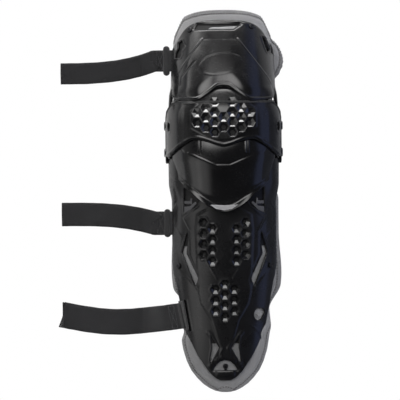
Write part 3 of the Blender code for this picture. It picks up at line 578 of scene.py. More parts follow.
GLOSS = moulded_plastic("shell_gloss_black", (0.0038, 0.0038, 0.0042), 0.21, 0.20, 0.12)
SATIN = moulded_plastic("shell_satin_black", (0.0050, 0.0050, 0.0055), 0.28, 0.15, 0.3)
DARK = moulded_plastic("vent_black", (0.0050, 0.0050, 0.0055), 0.15, 0.9, 0.1, False)
# Matt near-black for painted shade: sheets and faces set where slots, windows, vent holes and gaps would only
# be in shadow.
SHADE_BLACK = moulded_plastic("painted_shade_black", (0.0025, 0.0025, 0.0028), 0.65, 0.0, 0.1, False)
TAB = moulded_plastic("tab_grey", (0.045, 0.045, 0.048), 0.45, 0.0, 0.4, False)
INSERT = moulded_plastic("insert_grey", (0.17, 0.17, 0.175), 0.45, 0.0, 0.4, False)
HOOK = moulded_plastic("hook_black", (0.014, 0.014, 0.016), 0.42, 0.0, 0.5, False)
GREY = knit_fabric("liner_grey_knit", (0.205, 0.205, 0.21), 0.0016, 0.0005, 0.35)
BINDING = knit_fabric("liner_grey_binding", (0.19, 0.19, 0.195), 0.0011, 0.0006, 0.3)
THREAD = knit_fabric("thread_dark", (0.045, 0.040, 0.040), 0.0006, 0.0002, 0.3)
MESH = knit_fabric("foam_black_mesh", (0.024, 0.024, 0.026), 0.0024, 0.0009, 0.2, 0.35)
STRETCH = knit_fabric("stretch_black", (0.020, 0.020, 0.022), 0.0013, 0.0005, 0.25, 0.5)
STRAP = webbing("strap_woven", (0.0100, 0.0100, 0.0112))
STRAP_THREAD = knit_fabric("thread_black", (0.035, 0.035, 0.038), 0.0005, 0.0002, 0.2)
METAL = coated_metal("rivet_coated", (0.018, 0.018, 0.020), 0.32)


# ---- faceted vents ----
def on_skin(top, n, x, y):
    """The point of a skin, and its normal, straight under a point of the front view (mm)."""
    gap = (top[..., 0] * 1000 - x) ** 2 + (top[..., 1] * 1000 - y) ** 2 + np.where(n[..., 2] > 0.15, 0, 1e6)
    at = np.unravel_index(np.argmin(gap), gap.shape)
    point, normal = top[at], n[at]
    dx, dy = x / 1000 - point[0], y / 1000 - point[1]
    return np.array([x / 1000, y / 1000, point[2] - (normal[0] * dx + normal[1] * dy) / normal[2]]), normal


def hexagon(x, y, radius):
    angles = [math.radians(60 * k) for k in range(6)]
    return [(x + radius * math.cos(a), y + radius * math.sin(a)) for a in angles]


def vent(top, n, x, y, radius, throat, depth, tilt_deg, shift=0.0):
    """A faceted funnel set in a skin: six flats down to a six-sided throat, closed behind."""
    normal = on_skin(top, n, x, y)[1]
    slope = np.clip(math.radians(tilt_deg) - math.asin(normal[1]), math.radians(20), math.radians(54))
    depth = min(depth, 0.0002 + (radius * 0.93 - throat) / 1000 * math.tan(slope))
    throat = max(throat, radius * 0.93 - (depth - 0.0002) * 1000 / math.tan(slope))
    points = []
    for size, down, move in ((radius, 0.00015, 0.0), (radius * 0.93, 0.0002, 0.0), (throat, depth, shift),
                             (throat, depth + 0.0006, shift), (radius, 0.0014, 0.0)):
        for px, py in hexagon(x, y + move, size):
            points.append(on_skin(top, n, px, py)[0] - normal * down)
    faces = [[i % 30 for i in reversed(face)] for face in ring_faces(6, 6)]
    faces.append([18 + k for k in range(6)])
    return np.array(points), faces, np.ones(30)


KNEE_COLUMNS = ((35.2, 48.3), (28.7, 41.8, 54.9, 68.0), (34.6, 47.7, 60.8), (41.2, 54.3))
KNEE_CELLS = [(11.5 * k, y) for k in range(-3, 4) for y in KNEE_COLUMNS[abs(k)]]
SHIN_CELLS = [(side * x, start - 14.05 * k) for side in (-1, 1) for x, start in ((15.7, -96.2), (27.1, -88.4))
              for k in range(4)]
SHIN_CELLS += [(0.0, -168.9 - 14.15 * k) for k in range(4)]
SHIN_CELLS += [(side * 12.3, -175.6 - 14.2 * k) for side in (-1, 1) for k in range(3)]


def cells_keep(x, y, cells, radius):
    keep = np.full(x.shape, 1e3)
    for cx, cy in cells:
        near = (np.abs(x - cx) < 2 * radius) & (np.abs(y - cy) < 2 * radius)
        keep[near] = np.minimum(keep[near], outside(x[near], y[near], hexagon(cx, cy, radius)))
    return keep


def set_vents(name, skin, cells, radius, throat, depth, tilt_deg, body, shift=0.0):
    points, faces, edge = join_parts([vent(*skin, cx, cy, radius, throat, depth, tilt_deg, shift)
                                      for cx, cy in cells])
    made = mesh_object(name, points, faces, body, DARK, 10, edge)
    # Each throat is closed by a six-sided face in painted shade black, standing in for the dark of the open
    # hole.
    made.data.materials.append(SHADE_BLACK)
    for polygon in made.data.polygons:
        polygon.material_index = int(len(polygon.vertices) == 6)


# ---- thigh shell ----
HOOK_SLOTS = [
    [(-53.0, 150), (-50.5, 142), (-54.0, 137), (-54.0, 132), (-56.0, 127), (-62.5, 127), (-61.5, 134),
     (-58.0, 139), (-58.0, 147)],
    [(51.5, 154), (55.5, 153), (61.5, 137), (58.5, 134), (55.5, 141)],
    [(62.5, 144), (65.0, 143), (66.5, 132), (63.5, 133)],
]
THIGH_RIVETS = {"left": (-0.0430, 0.1060), "right": (0.0380, 0.1090)}


def build_thigh_shell():
    points = thigh_rows(130, 241)
    x, y = front_view(points)
    first, last = to_edges(points)[2:] * 1000
    left_ridge, right_ridge = [(-26.8, 151), (-52.6, 116)], [(63, 92), (59, 99.5), (19.6, 151)]
    panel = outside(x, y, left_ridge + [(-60, 100), (-60, 60), (66, 60)] + right_ridge)
    height = 0.0006 * (1 - ease(-2.2, 0.4, panel)) * ease(160, 125, y)
    height += 0.0022 * ease(50, 62, np.abs(x)) * ease(92, 76, y)
    for ridge in (left_ridge + [(-58, 104)], right_ridge):
        height += bead(to_line(x, y, ridge), 0.7, 0.0007)
    height -= bead(to_line(x, y, [(-36.7, 121.7), (-46, 111), (-53.7, 100.8), (-55.5, 90)]), 0.7, 0.0006)
    oval = np.hypot(((x + 3) * 0.985 + (y - 118) * 0.174) / 31, ((y - 118) * 0.985 - (x + 3) * 0.174) / 14.5)
    height -= bead((oval - 0.95) * 20, 1.0, 0.00022)
    height -= 0.0016 * (1 - ease(2.0, 20.0, last)) * ease(-70, -55, -np.abs(x))
    height += bead(last - 3.6, 1.0, 0.0006)
    height -= 0.0008 * (1 - ease(0.0, 4.5, first))
    keep = outside(x, y, [(-37, 165.0), (14, 165.0), (23.5, 171.2), (-34, 171.2)])
    height -= 0.0010 * (1 - ease(0.5, 3.0, keep))
    for slot in HOOK_SLOTS:
        narrow = outside(x, y, slot)
        height += bead(narrow - 1.2, 1.0, 0.0006)
        keep = np.minimum(keep, narrow)
    for place in THIGH_RIVETS.values():
        at = thigh_surface(*place) * 1000
        height -= bead(np.hypot(x - at[0], y - at[1]), 4.2, 0.0005)
    inner = points - normals(points) * (WALL + 0.0004)
    pale = outside(x, y, [(-22, 163.5), (14.5, 163.5), (20.5, 169.2), (-16, 167.8)])
    # Painted shade: a black sheet just under the hook slots and round the vent slot, outside its grey sheet,
    # stands for the shadow inside them.
    skin_piece("thigh_slot_backs", inner, 0.0006, np.minimum(3.5 - keep, pale), "thigh", SHADE_BLACK, rounding=0.0002)
    skin_piece("thigh_vent_insert", inner, 0.0008, -pale, "thigh", INSERT)
    tucked = shell(flange_rows(36, 121), 0.0016, rounding=0.0005)
    moulded("thigh_shell", "thigh", GLOSS, [shell(points, WALL, keep, height), tucked])


# ---- knee shell ----
def build_knee_shell():
    points = knee_rows(125, 281)
    x, y = front_view(points)
    ax = np.abs(x)
    first, last = to_edges(points)[2:] * 1000
    panel = outside(x, y, [(-43, 57), (-28, 70), (-13, 79), (13, 79), (30, 70), (43, 59), (43.5, 36), (23, 24),
                           (8, 18.5), (-8, 18.5), (-23, 22.5), (-43, 34)])
    height = 0.0005 * (1 - ease(-1.6, 0.8, panel)) - 0.0016 * ease(60, 80, y) * (1 - ease(-4, 4, panel))
    height += bead(last - 3.2, 1.4, 0.0005) + bead(first - 2.6, 1.2, 0.0003)
    height -= 0.0008 * (1 - ease(0.0, 2.6, last)) + bead(ax - 55, 3.0, 0.0004) * ease(62, 52, y)
    keep = (1 - np.hypot(np.maximum(ax - 59, 0) / 17.6, np.maximum(y - 46, 0) / 23.8)) * 16
    # Painted shadow: a thin black strip along the shell's edges above y = 44 mm stands for the dark gap line
    # where the thigh shell overlaps it.
    shadow_strip = np.where(y > 44, np.minimum(keep, 1.9 - np.min([first, last, keep], axis=0)), -1)
    notch = (np.hypot((ax - 71.6) / 1.7, (y - 36.5) / 5.6) - 1) * 1.7
    height += bead(notch - 0.8, 1.0, 0.0004)
    cells = cells_keep(x, y, KNEE_CELLS, 6.9)
    crisp = np.where(cells < 1.5, 0.0002, 0.0010)
    body = shell(points, KNEE_WALL, np.min([keep, notch, cells], axis=0), height, crisp)
    ears = [ear_plate(side, 0.0719, 0.0760, 0.0140, (LOWER_PIVOT_Y, UPPER_PIVOT_Y)) for side in (-1, 1)]
    moulded("knee_shell", "knee", GLOSS, [body, *ears])
    set_vents("knee_vents", body[3:], KNEE_CELLS, 7.1, 2.2, 0.0029, 40, "knee")
    skin_piece("knee_edge_trim", points + body[4] * 0.0001, 0.0010, shadow_strip, "knee", SHADE_BLACK, height, 0.0002)
    # Painted shade: black sheets just under the side notches stand for the shadow seen through them.
    skin_piece("knee_notch_backs", points - body[4] * (KNEE_WALL + 0.0002), 0.0005,
               np.where(ax > 60, 2.5 - notch, -1), "knee", SHADE_BLACK, rounding=0.0002)


def ear_plate(side, inner, outer, radius, pivots):
    """A rounded plate round one or two pivots, with a softened rim and a face sunk a little inside it."""
    half_turn = np.linspace(-math.pi / 2, math.pi / 2, 24)
    ends = ((max(pivots), half_turn), (min(pivots), half_turn + math.pi))
    rim = np.array([(y + radius * math.cos(a), PIVOT_Z + radius * math.sin(a))
                    for y, turn in ends for a in turn])
    middle = np.array([(pivots[0] + pivots[1]) / 2, PIVOT_Z])
    rings = []
    for level, scale in ((inner, 0.90), (inner, 1.0), (outer - 0.0009, 1.0), (outer - 0.0003, 0.975),
                         (outer, 0.93), (outer, 0.90), (outer - 0.0005, 0.87), (outer - 0.0005, 0.35)):
        flat = middle + (rim - middle) * scale
        rings.append(np.column_stack([np.full(len(flat), side * level), flat]))
    count = len(rim)
    points = np.concatenate(rings + [[[side * inner, *middle]], [[side * (outer - 0.0005), *middle]]])
    faces = ring_faces(len(rings), count)
    last = (len(rings) - 1) * count
    for k in range(count):
        faces.append([(k + 1) % count, k, len(points) - 2])
        faces.append([last + k, last + (k + 1) % count, len(points) - 1])
    if side < 0:
        faces = [face[::-1] for face in faces]
    return points, faces, np.ones(len(points))


# ---- knee cup ----
def build_knee_cup():
    points = cup_rows(150, 221)
    x, y = front_view(points)
    last = to_edges(points)[3] * 1000
    crease = [(-46, 2.5), (-40, 0), (-10, -13.9), (8, -13.9), (42, 0.5), (48, 3)]
    below = outside(x, y, [(-80, 20)] + crease + [(80, 20), (80, -200), (-80, -200)])
    height = 0.0010 * (1 - ease(-2.0, 0.6, below)) * ease(0, 12, 60 - np.abs(x))
    height += bead(to_line(x, y, crease), 0.8, 0.0007)
    for rib in (-33.0, -29.5, 28.5, 32.0):
        height += bead(x - rib, 0.7, 0.0006) * ease(-2, 3, y) * ease(30, 20, y)
    middle = 1 - ease(20, 46, np.abs(x))
    height += 0.0036 * (1 - ease(0.5, 8.0, last)) * middle + 0.0010 * (1 - ease(0, 6.5, last)) * (1 - middle)
    height += bead(last - 1.1, 0.7, 0.0006) + bead(last - 7.5, 0.7, 0.0004) * (1 - middle)
    body = shell(points, WALL, None, height)
    crescent = [(-18, -64.8), (0, -66.0), (18, -64.8), (10, -70.0), (0, -72.0), (-10, -70.0)]
    skin_piece("knee_cup_insert", body[3] + body[4] * 0.0004, 0.0005, -outside(x, y, crescent), "shin", INSERT)
    moulded("knee_cup", "shin", GLOSS, [body])


# ---- shin shell ----
SIDE_WINDOWS = [
    [(-52.4, -42), (-52.4, -75.5), (-34.5, -67.0), (-31.0, -58.0)],
    [(-48.5, -100.0), (-47.8, -107.5), (-50.5, -128.5), (-35.0, -161.0), (-38.8, -171.5), (-56.5, -127.5)],
    [(-19.0, -235.5), (-8.2, -252.5), (-19.5, -272.5), (-20.5, -270.0), (-17.5, -252.5)],
]
# How low the painted shade behind each side window reaches, in mm.
SHADE_ABOVE = (-87.5, -116.5, -244.5)
HALF_MOON = [(-16.5, -282.5), (16.5, -282.5), (11.5, -274.5), (6.5, -270.2), (0, -268.5), (-6.5, -270.2),
             (-11.5, -274.5)]
STRAP_MOUTH = [(-53.4, -190), (-51.0, -190), (-44.4, -230), (-46.8, -230)]
CLIP_TABS = [[(-54, -60.2), (-44.5, -60.2), (-44.5, -56.5), (-42.5, -56.5), (-42.5, -64.0), (-54, -64.0)],
             [(-54, -67.5), (-45.5, -67.5), (-37.5, -61.0), (-36.2, -63.0), (-44.0, -71.5), (-54, -76.0)]]
SHIN_LINES = [([(34, -67), (52.5, -82.5), (45, -98)], 1.0, 0.0007),
              ([(61, -62), (67, -72), (66, -90), (57, -106)], 0.9, 0.0005),
              ([(17.5, -149), (10.5, -161)], 0.8, 0.0006)]


def build_shin_shell():
    points = shin_rows(260, 241)
    x, y = front_view(points)
    ax = np.abs(x)
    last = to_edges(points)[3] * 1000
    mouth = outside(x, y, STRAP_MOUTH)
    rims = [mouth] + [outside(side * x, y, window) for window in SIDE_WINDOWS for side in (1, -1)]
    height = 0.0004 * sum(bead(gap - 1.0, 1.0, 1.0) for gap in rims)
    for line, width, tall in SHIN_LINES:
        height += bead(to_line(ax, y, line), width, tall)
    height += bead(to_line(x, y, [(33, -223), (38, -226), (44, -232), (47.5, -242), (47, -252)]), 0.9, 0.0006)
    moon = outside(x, y, HALF_MOON)
    height -= 0.0012 * (1 - ease(0.3, 3.0, moon)) * ease(-286, -280, y)
    kidney = np.minimum(np.hypot((x - 44) / 5.6, (y + 209) / 7.6), np.hypot((x - 47.5) / 4.6, (y + 206) / 5.0))
    height += bead((kidney - 1.15) * 5, 0.9, 0.0005)
    spine = outside(ax, y, [(-30, -40), (36, -78), (38, -98), (36, -150), (36, -173), (31.5, -194),
                            (18.5, -216), (12, -238), (6, -252), (8, -262), (14, -268), (12, -290),
                            (-30, -296)])
    height += 0.0013 * (1 - ease(-3.0, 1.0, spine)) + bead(spine + 0.6, 0.9, 0.0003)
    side = outside(ax, y, [(34, -66), (53, -82), (45, -99), (44, -130), (30, -163), (34, -180), (60, -150),
                           (66, -110), (66, -60)])
    height -= 0.0006 * (1 - ease(-2.5, 0.5, side))
    cross = np.minimum(to_line(ax, y, [(22, -232), (4.5, -252.5), (20, -276)]) - 2.5, 4)
    height += 0.0007 * (1 - ease(-1.5, 1.5, cross))
    height += 0.0004 * (1 - ease(-0.6, 0.9, cells_keep(x, y, SHIN_CELLS, 8.4)))
    height += bead(last - 1.6, 1.1, 0.0004) + 0.0036 * ease(52, 64, ax) * ease(-62, -36, y)
    oval = np.hypot((y + 78) / 6.0, (points[..., 2] * 1000 - 26) / 3.2)
    height += np.where(x > 55, bead((oval - 1.3) * 3.2, 0.9, 0.0004), 0)
    keep = np.min(rims + [moon, (kidney - 1) * 4.5, cells_keep(x, y, SHIN_CELLS, 6.35),
                          np.where(x > 55, (oval - 1) * 3.2, 1e3)], axis=0)
    body = shell(points, WALL, keep, height)
    n = body[4]
    # Painted shade: black sheets behind the strap mouth and behind each side window down to a given level
    # stand for the shadow in the deep recesses; lower down the liner shows.
    dark = [np.maximum(outside(-ax, y, window), low - y) for window, low in zip(SIDE_WINDOWS, SHADE_ABOVE)]
    skin_piece("shin_window_backs", points - n * (WALL + 0.0004), 0.0006, 2.5 - np.min([mouth] + dark, axis=0),
               "shin", SHADE_BLACK, rounding=0.0002)
    tabs = np.min([outside(-ax, y, tab) for tab in CLIP_TABS], axis=0)
    skin_piece("shin_clip_tabs", points - n * 0.0010, 0.0016, -tabs, "shin", TAB, rounding=0.0004)
    skin_piece("half_moon_post", points - n * 0.0009, 0.0012,
               1.7 - np.maximum(ax, np.maximum(y + 278.3, -291 - y)), "shin", SATIN, rounding=0.0004)
    patch = outside(x, y, [(-70, -190.5), (-53.2, -190.5), (-46.6, -229), (-70, -229)])
    skin_piece("ankle_strap_tab", points + n * 0.0021, 0.0019, -patch, "shin", STRETCH, rounding=0.0006)
    ears = [ear_plate(sign, 0.0650, 0.0715, 0.0130, (LOWER_PIVOT_Y - 0.0001, LOWER_PIVOT_Y + 0.0001))
            for sign in (-1, 1)]
    moulded("shin_shell", "shin", SATIN, [body, *ears])
    set_vents("shin_vents", body[3:], SHIN_CELLS, 6.55, 2.4, 0.0031, 31, "shin", 0.8)


build_thigh_shell()
build_knee_shell()
build_knee_cup()
build_shin_shell()


# ---- padded liner and foam ----
def thigh_soft_rows(width, depth, top_t, foot, clear_z, flare, count, columns):
    rows = []
    for share in np.linspace(0, 1, count):
        side_t = mix(top_t - 0.022, foot, share)
        bulge = flare * math.sin(math.pi * (0.16 + 0.84 * min(1.0, share * 2.5)))
        rear = max(thigh_rear(side_t, clear_z), -0.5 * side_t)
        x, r = arch(width, depth, (rear, rear), columns, flares=(0.0, bulge))
        top = top_t - 0.013 * ease(0.049, 0.063, np.abs(x)) - 0.008 * (1 - ease(0.0, 0.030, r))
        at = mix(top, foot - 0.14 * np.maximum(r, 0.0), share)
        rows.append(leaning(x, r, at, UPPER_PIVOT_Y, THIGH_LEAN, 1))
    rows = np.array(rows)
    rows[..., 2] = np.maximum(rows[..., 2], clear_z)
    return rows


def knee_soft_rows(width, depth, turn_deg, count, columns):
    middle = (UPPER_PIVOT_Y + LOWER_PIVOT_Y) / 2
    x, r = arch(width, depth, (0.022, 0.022), columns)
    return np.array([np.stack([x, middle + 0.68 * r * math.sin(a), PIVOT_Z + r * math.cos(a)], axis=-1)
                     for a in np.radians(np.linspace(turn_deg, -turn_deg, count))])


LINER_FOOT = [(-0.190, 0.0630), (-0.215, 0.0610), (-0.235, 0.0590), (-0.255, 0.0558), (-0.270, 0.0512),
              (-0.282, 0.0456), (-0.292, 0.0383), (-0.300, 0.0302), (-0.306, 0.0213), (-0.3100, 0.0125),
              (-0.3120, 0.0040)]


def shin_soft_rows(drop, top_y, foot_y, rear_lift, flares, count, columns):
    rows = []
    for y in np.linspace(top_y, foot_y, count):
        width, depth = shin_width(y) - drop, shin_front_z(y) - shin_base_z(y) - drop
        swell = ease(-0.020, -0.060, y) * (1 - ease(-0.170, -0.205, y)) * (1 + 0.5 * ease(-0.100, -0.165, y))
        half = between(LINER_FOOT, y, 0.0005) - (0.006 if rear_lift else 0.0)
        tip = ease(-0.190, -0.235, y)
        width = mix(width, max(half * 1.02, width), tip)
        rear = mix(-shin_base_z(y), arch_r(half, width, depth, SHIN_ARCH), tip) + rear_lift
        x, r = arch(width, depth, (rear, rear), columns, SHIN_ARCH, [f * swell for f in flares])
        near = 1 - ease(0.0, 0.035, top_y - y)
        rise = 0.014 * (1 - ease(0.018, 0.040, r)) + 0.6 * np.minimum(r, 0.0)
        rows.append(np.stack([x, y + near * rise, np.maximum(shin_base_z(y) + r, rear_lift)], axis=-1))
    return np.array(rows)


def rounded_inside(points):
    """Distance to the nearest edge of a grid, eased round its corners, in millimetres."""
    edges = to_edges(points) * 1000
    across, down = np.minimum(*edges[:2]), np.minimum(*edges[2:])
    reach = 9.0
    corner = reach - np.hypot(np.maximum(reach - across, 0), np.maximum(reach - down, 0))
    return np.where((across < reach) & (down < reach), corner, np.minimum(across, down))


def creases(points, seed):
    """Slow soft unevenness, as of fabric over foam."""
    x, y, z = (points[..., k] * 1000 for k in range(3))
    out = np.zeros(x.shape)
    for k, (long, tall) in enumerate(((47, 0.35), (29, 0.22), (17, 0.10))):
        a, b = seed + 1.7 * k, seed * 0.6 + 2.3 * k
        out += tall * np.sin(x / long * 2.1 + y / long + a) * np.cos(y / long * 1.6 - z / long * 2 + b)
    return out / 1000


def pad(name, points, wall, body, made_of, seam=6.2, quilt=0.0, press=0.0, bound=None, fill=0.5, ribs=0.0,
        slot="liner_grey"):
    """A padded layer: rounded edges, a sewn seam inside its rim, soft unevenness, quilting within."""
    n = normals(points)
    inside = rounded_inside(points)
    half = wall * 500
    body_of = np.sqrt(1 - (1 - np.clip(inside / half, 0, 1)) ** 2) * wall / 2
    groove = bead(inside - seam, 0.9, wall * 0.17) + bead(inside - seam - 6, 3.5, -wall * 0.06)
    soft = creases(points, len(name) + 7) * ease(1, 7, inside)
    collar = ease(0.3, 1.2, inside) * (1 - ease(seam - 2, seam - 1, inside))
    outer = np.maximum(body_of - groove, 0.00012) + soft - press
    outer += ribs * np.sin(to_edges(points)[0] / 0.0021 * math.pi) * collar
    inner = np.maximum(body_of - groove * 0.8, 0.00012) - soft - quilt * ease(seam, seam + 4, inside)
    middle = points - n * (wall / 2)
    top, low = middle + n * outer[..., None], middle - n * inner[..., None]
    top[..., 2] = np.maximum(top[..., 2], 0.0001)
    low[..., 2] = np.maximum(low[..., 2], 0.0001)
    verts, faces, source = solid_of(top, low, inside + 0.02, not facing(points))
    made = mesh_object(f"{name}_padded", verts, faces, body, made_of, 60)
    if bound is not None:
        made.data.materials.append(bound)
        rim = inside.ravel()[source] < seam - 0.6
        for polygon in made.data.polygons:
            polygon.material_index = int(rim[polygon.vertices[0]] and rim[polygon.vertices[1]])
    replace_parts(made, name)
    return top, n


def seam_loop(top, inset):
    """Points along a grid at one distance from its edge, all the way round."""
    margin = max(inset * 1.4, 0.002)
    loop = []
    for turn in range(4):
        grid = np.rot90(top, turn)
        left, right, first, _ = to_edges(grid)
        level = 0 if turn % 2 else len(grid) // 8
        for c in range(grid.shape[1]):
            if min(left[level, c], right[level, c]) > margin:
                loop.append([np.interp(inset, first[:, c], grid[:, c, k]) for k in range(3)])
    return np.array(loop)


def even_path(path, pitch):
    path = path[np.append(True, np.linalg.norm(np.diff(path, axis=0), axis=1) > 1e-6)]
    run = np.append(0, np.cumsum(np.linalg.norm(np.diff(path, axis=0), axis=1)))
    at = np.linspace(0, run[-1], max(int(run[-1] / pitch), 2) + 1)
    return np.stack([np.interp(at, run, path[:, k]) for k in range(3)], axis=1)


def stitches(name, paths, up, body, made_of, pitch=0.0036, length=0.0026, radius=0.00050):
    """Thread along paths: one small bent capsule a stitch; `up(point)` is the outward direction."""
    points, faces = [], []
    ring = np.linspace(0, 2 * math.pi, 6, endpoint=False)
    for path in paths:
        marks = even_path(np.array(path), pitch)
        for here, there in zip(marks[:-1], marks[1:]):
            way = there - here
            way /= np.linalg.norm(way) + 1e-12
            middle = (here + there) / 2
            out = up(middle)
            out = out - way * out.dot(way)
            out /= np.linalg.norm(out) + 1e-12
            side = np.cross(way, out)
            start = len(points)
            for share in (-0.5, -0.38, 0.0, 0.38, 0.5):
                r = radius * (0.35 if abs(share) == 0.5 else 1.0)
                base = middle + way * share * length + out * radius * (0.55 - 5.0 * share * share)
                points += [base + side * math.cos(a) * r * 1.2 + out * math.sin(a) * r for a in ring]
            faces += ring_faces(5, 6, start)
            faces += [[start + j for j in range(5, -1, -1)], [start + 24 + j for j in range(6)]]
    return mesh_object(name, points, faces, body, made_of, 80)


def outward(top, n):
    """The outward normal of a skin near a point."""
    flat, normal = top.reshape(-1, 3), n.reshape(-1, 3)

    def look(point):
        return normal[np.argmin(((flat - point) ** 2).sum(axis=1))]
    return look


def quilted(points, wide, tall, depth):
    """A brick pattern of soft channels."""
    left, right, first, _ = to_edges(points) * 1000
    across = (left - right) / 2
    row = np.floor(first / tall)
    to_row = np.minimum(first % tall, tall - first % tall)
    shifted = (across + np.where(row % 2 == 0, 0, wide / 2)) % wide
    to_column = np.minimum(shifted, wide - shifted)
    return bead(np.minimum(to_row, to_column), 1.7, depth)


# each strap's bar: its middle, the way that it lies, and the strap's width
ankle_hinge = next(j for j in frame["joints"] if j["name"] == "ankle_strap_hinge")
BAR_Z, ALONG_Y = SHELL_REAR_Z + BAR_HALF, np.array([0.0, 1, 0])
BARS = {
    "thigh_strap": (np.array([-0.0668, 0.1245, BAR_Z]), ALONG_Y, 0.028),
    "calf_strap": (np.array([-(0.0683 - WALL / 2), -0.089, BAR_Z]), ALONG_Y, 0.031),
    "ankle_strap": (np.array(ankle_hinge["pos_m"]) - ROOT, unit(np.array(ankle_hinge["axis"])), 0.034),
}


def bar_press(points, name, tall, wide):
    """How far a strap's turn round its bar presses the padding in."""
    bar, along, width = BARS[name]
    away = points - bar
    u = away @ along
    gap = np.linalg.norm(away - u[..., None] * along, axis=-1)
    return tall * (1 - ease(wide * 0.6, wide, gap)) * (1 - ease(width / 2, width / 2 + 0.004, np.abs(u)))


def build_soft():
    points = thigh_soft_rows(0.0646, 0.0695, LINER_TOP_T + 0.0035, 0.003, 0.0, 0.016, 110, 181)
    thigh = pad("thigh_liner", points, LINER_WALL, "thigh", GREY, 8.0,
                press=bar_press(points, "thigh_strap", 0.0022, 0.009), bound=BINDING, ribs=0.0006)
    points = shin_soft_rows(LINER_DROP, -0.024, -0.3120, 0.0, (0.0045, 0.0085), 210, 181)
    strap_side = 1 - ease(0.018, 0.034, np.abs(points[..., 1] + 0.2105))
    points[..., 0] += 0.0055 * ease(0.030, 0.050, -points[..., 0]) * strap_side
    press = bar_press(points, "calf_strap", 0.0022, 0.009) + bar_press(points, "ankle_strap", 0.0034, 0.012)
    shin = pad("shin_liner", points, LINER_WALL, "shin", GREY, 9.8, press=press, bound=BINDING)
    points = knee_soft_rows(0.0600, 0.0680, 35, 50, 121)
    knee = pad("knee_liner", points, LINER_WALL, "knee", GREY, bound=BINDING)
    for body, inset, skin in (("thigh", 0.0080, thigh), ("shin", 0.0098, shin), ("knee", 0.0062, knee)):
        seam = seam_loop(skin[0], inset)
        stitches(f"{body}_liner_stitches", [seam], outward(*skin), body, THREAD)
    foams = (("thigh", thigh_soft_rows(0.0588, 0.0637, 0.116, 0.014, 0.012, 0.0, 70, 111), 7.5, 21, 0.0016),
             ("shin", shin_soft_rows(FOAM_DROP, -0.034, -0.248, 0.012, (0.0, 0.0), 130, 111), 7.5, 24, 0.0016),
             ("knee", knee_soft_rows(0.0546, 0.0626, 28, 40, 111), 6.5, 19, 0.0014))
    for body, points, seam, tall, depth in foams:
        pad(f"{body}_foam", points, FOAM_WALL, body, MESH, seam, quilted(points, 26, tall, depth), fill=0.7,
            slot="foam_black")


build_soft()


# ---- straps ----
def lane_y(x, start, end_y, sag):
    share = (start[0] - x) / (start[0] - STRAP_END_X)
    return end_y + (start[1] - end_y) * (1 - share) ** 3 - sag * math.sin(math.pi * share)


def strap_path(bar, along, out_deg, end_y, sag):
    """A strap's middle line, as the solid has it: round its bar, to the floor, folded back to its hook."""
    level = unit(np.array([-along[1], along[0], 0.0]))
    up = np.cross(level, along)
    up = up if up[2] > 0 else -up
    drop = math.radians(out_deg)
    out, up = level * math.cos(drop) - up * math.sin(drop), up * math.cos(drop) + level * math.sin(drop)
    turn = [(0.024, -PLY / 2), (0.0075, -PLY / 2), (0.004, -PLY / 2 - 0.0008)]
    angles = np.linspace(-math.pi / 2, -1.5 * math.pi, 11)
    turn += [(TURN_R * math.cos(a), TURN_R * math.sin(a)) for a in angles]
    turn += [(0.004, PLY / 2 + 0.0008), (0.0075, PLY / 2), (0.024, PLY / 2)]
    path = [bar + out * u + up * v for u, v in turn]
    start, doubled = path[-1], len(path)
    low = STRAP_T / 2 + 0.00002
    high, hook_x = low + PLY, STRAP_END_X + HOOK_RUN
    land_x = hook_x + 0.012
    fall = start[2] + out[2] / abs(out[0]) * (start[0] - land_x) / 3
    for k in np.linspace(0, 1, 9)[1:]:
        x = mix(start[0], land_x, k)
        z = start[2] * (1 - k) ** 3 + 3 * fall * k * (1 - k) ** 2 + HUMP_Z * (3 * k * k * (1 - k) + k ** 3)
        path.append(np.array([x, lane_y(x, start, end_y, sag), z]))
    for k in np.linspace(0, 1, 9)[1:]:
        x = mix(land_x, STRAP_END_X, k)
        path.append(np.array([x, lane_y(x, start, end_y, sag), mix(HUMP_Z, high, ease(0.2, 0.95, k))]))
    for k in range(1, 6):
        a = math.pi * k / 6
        path.append(np.array([STRAP_END_X - math.sin(a) * PLY / 2, end_y, low + (1 + math.cos(a)) * PLY / 2]))
    for k in range(5):
        x = mix(STRAP_END_X, hook_x - 0.010, k / 4)
        path.append(np.array([x, lane_y(x, start, end_y, sag), low]))
    centre = np.array([hook_x, lane_y(hook_x, start, end_y, sag), low + HOOK_TURN_R])
    heading = unit((centre - path[-1]) * (1, 1, 0))
    for a in np.linspace(-math.pi / 2, math.pi / 2, 9):
        path.append(centre + (heading * math.cos(a) + np.array([0, 0, math.sin(a)])) * HOOK_TURN_R)
    for back, lift in ((0.006, 0.0010), (0.010, 0.0), (0.020, 0.0)):
        path.append(centre - heading * back + np.array([0, 0, PLY + lift - HOOK_TURN_R]))
    return np.array(path), doubled, centre, heading


def smooth_through(values, steps):
    """Catmull-Rom points through rows of values."""
    padded = np.concatenate([[2 * values[0] - values[1]], values, [2 * values[-1] - values[-2]]])
    out = []
    for a, b, c, d in zip(padded, padded[1:], padded[2:], padded[3:]):
        for t in np.arange(steps) / steps:
            out.append(0.5 * (2 * b + (c - a) * t + (2 * a - 5 * b + 4 * c - d) * t ** 2
                              + (3 * b - a - 3 * c + d) * t ** 3))
    out.append(values[-1])
    return np.array(out)


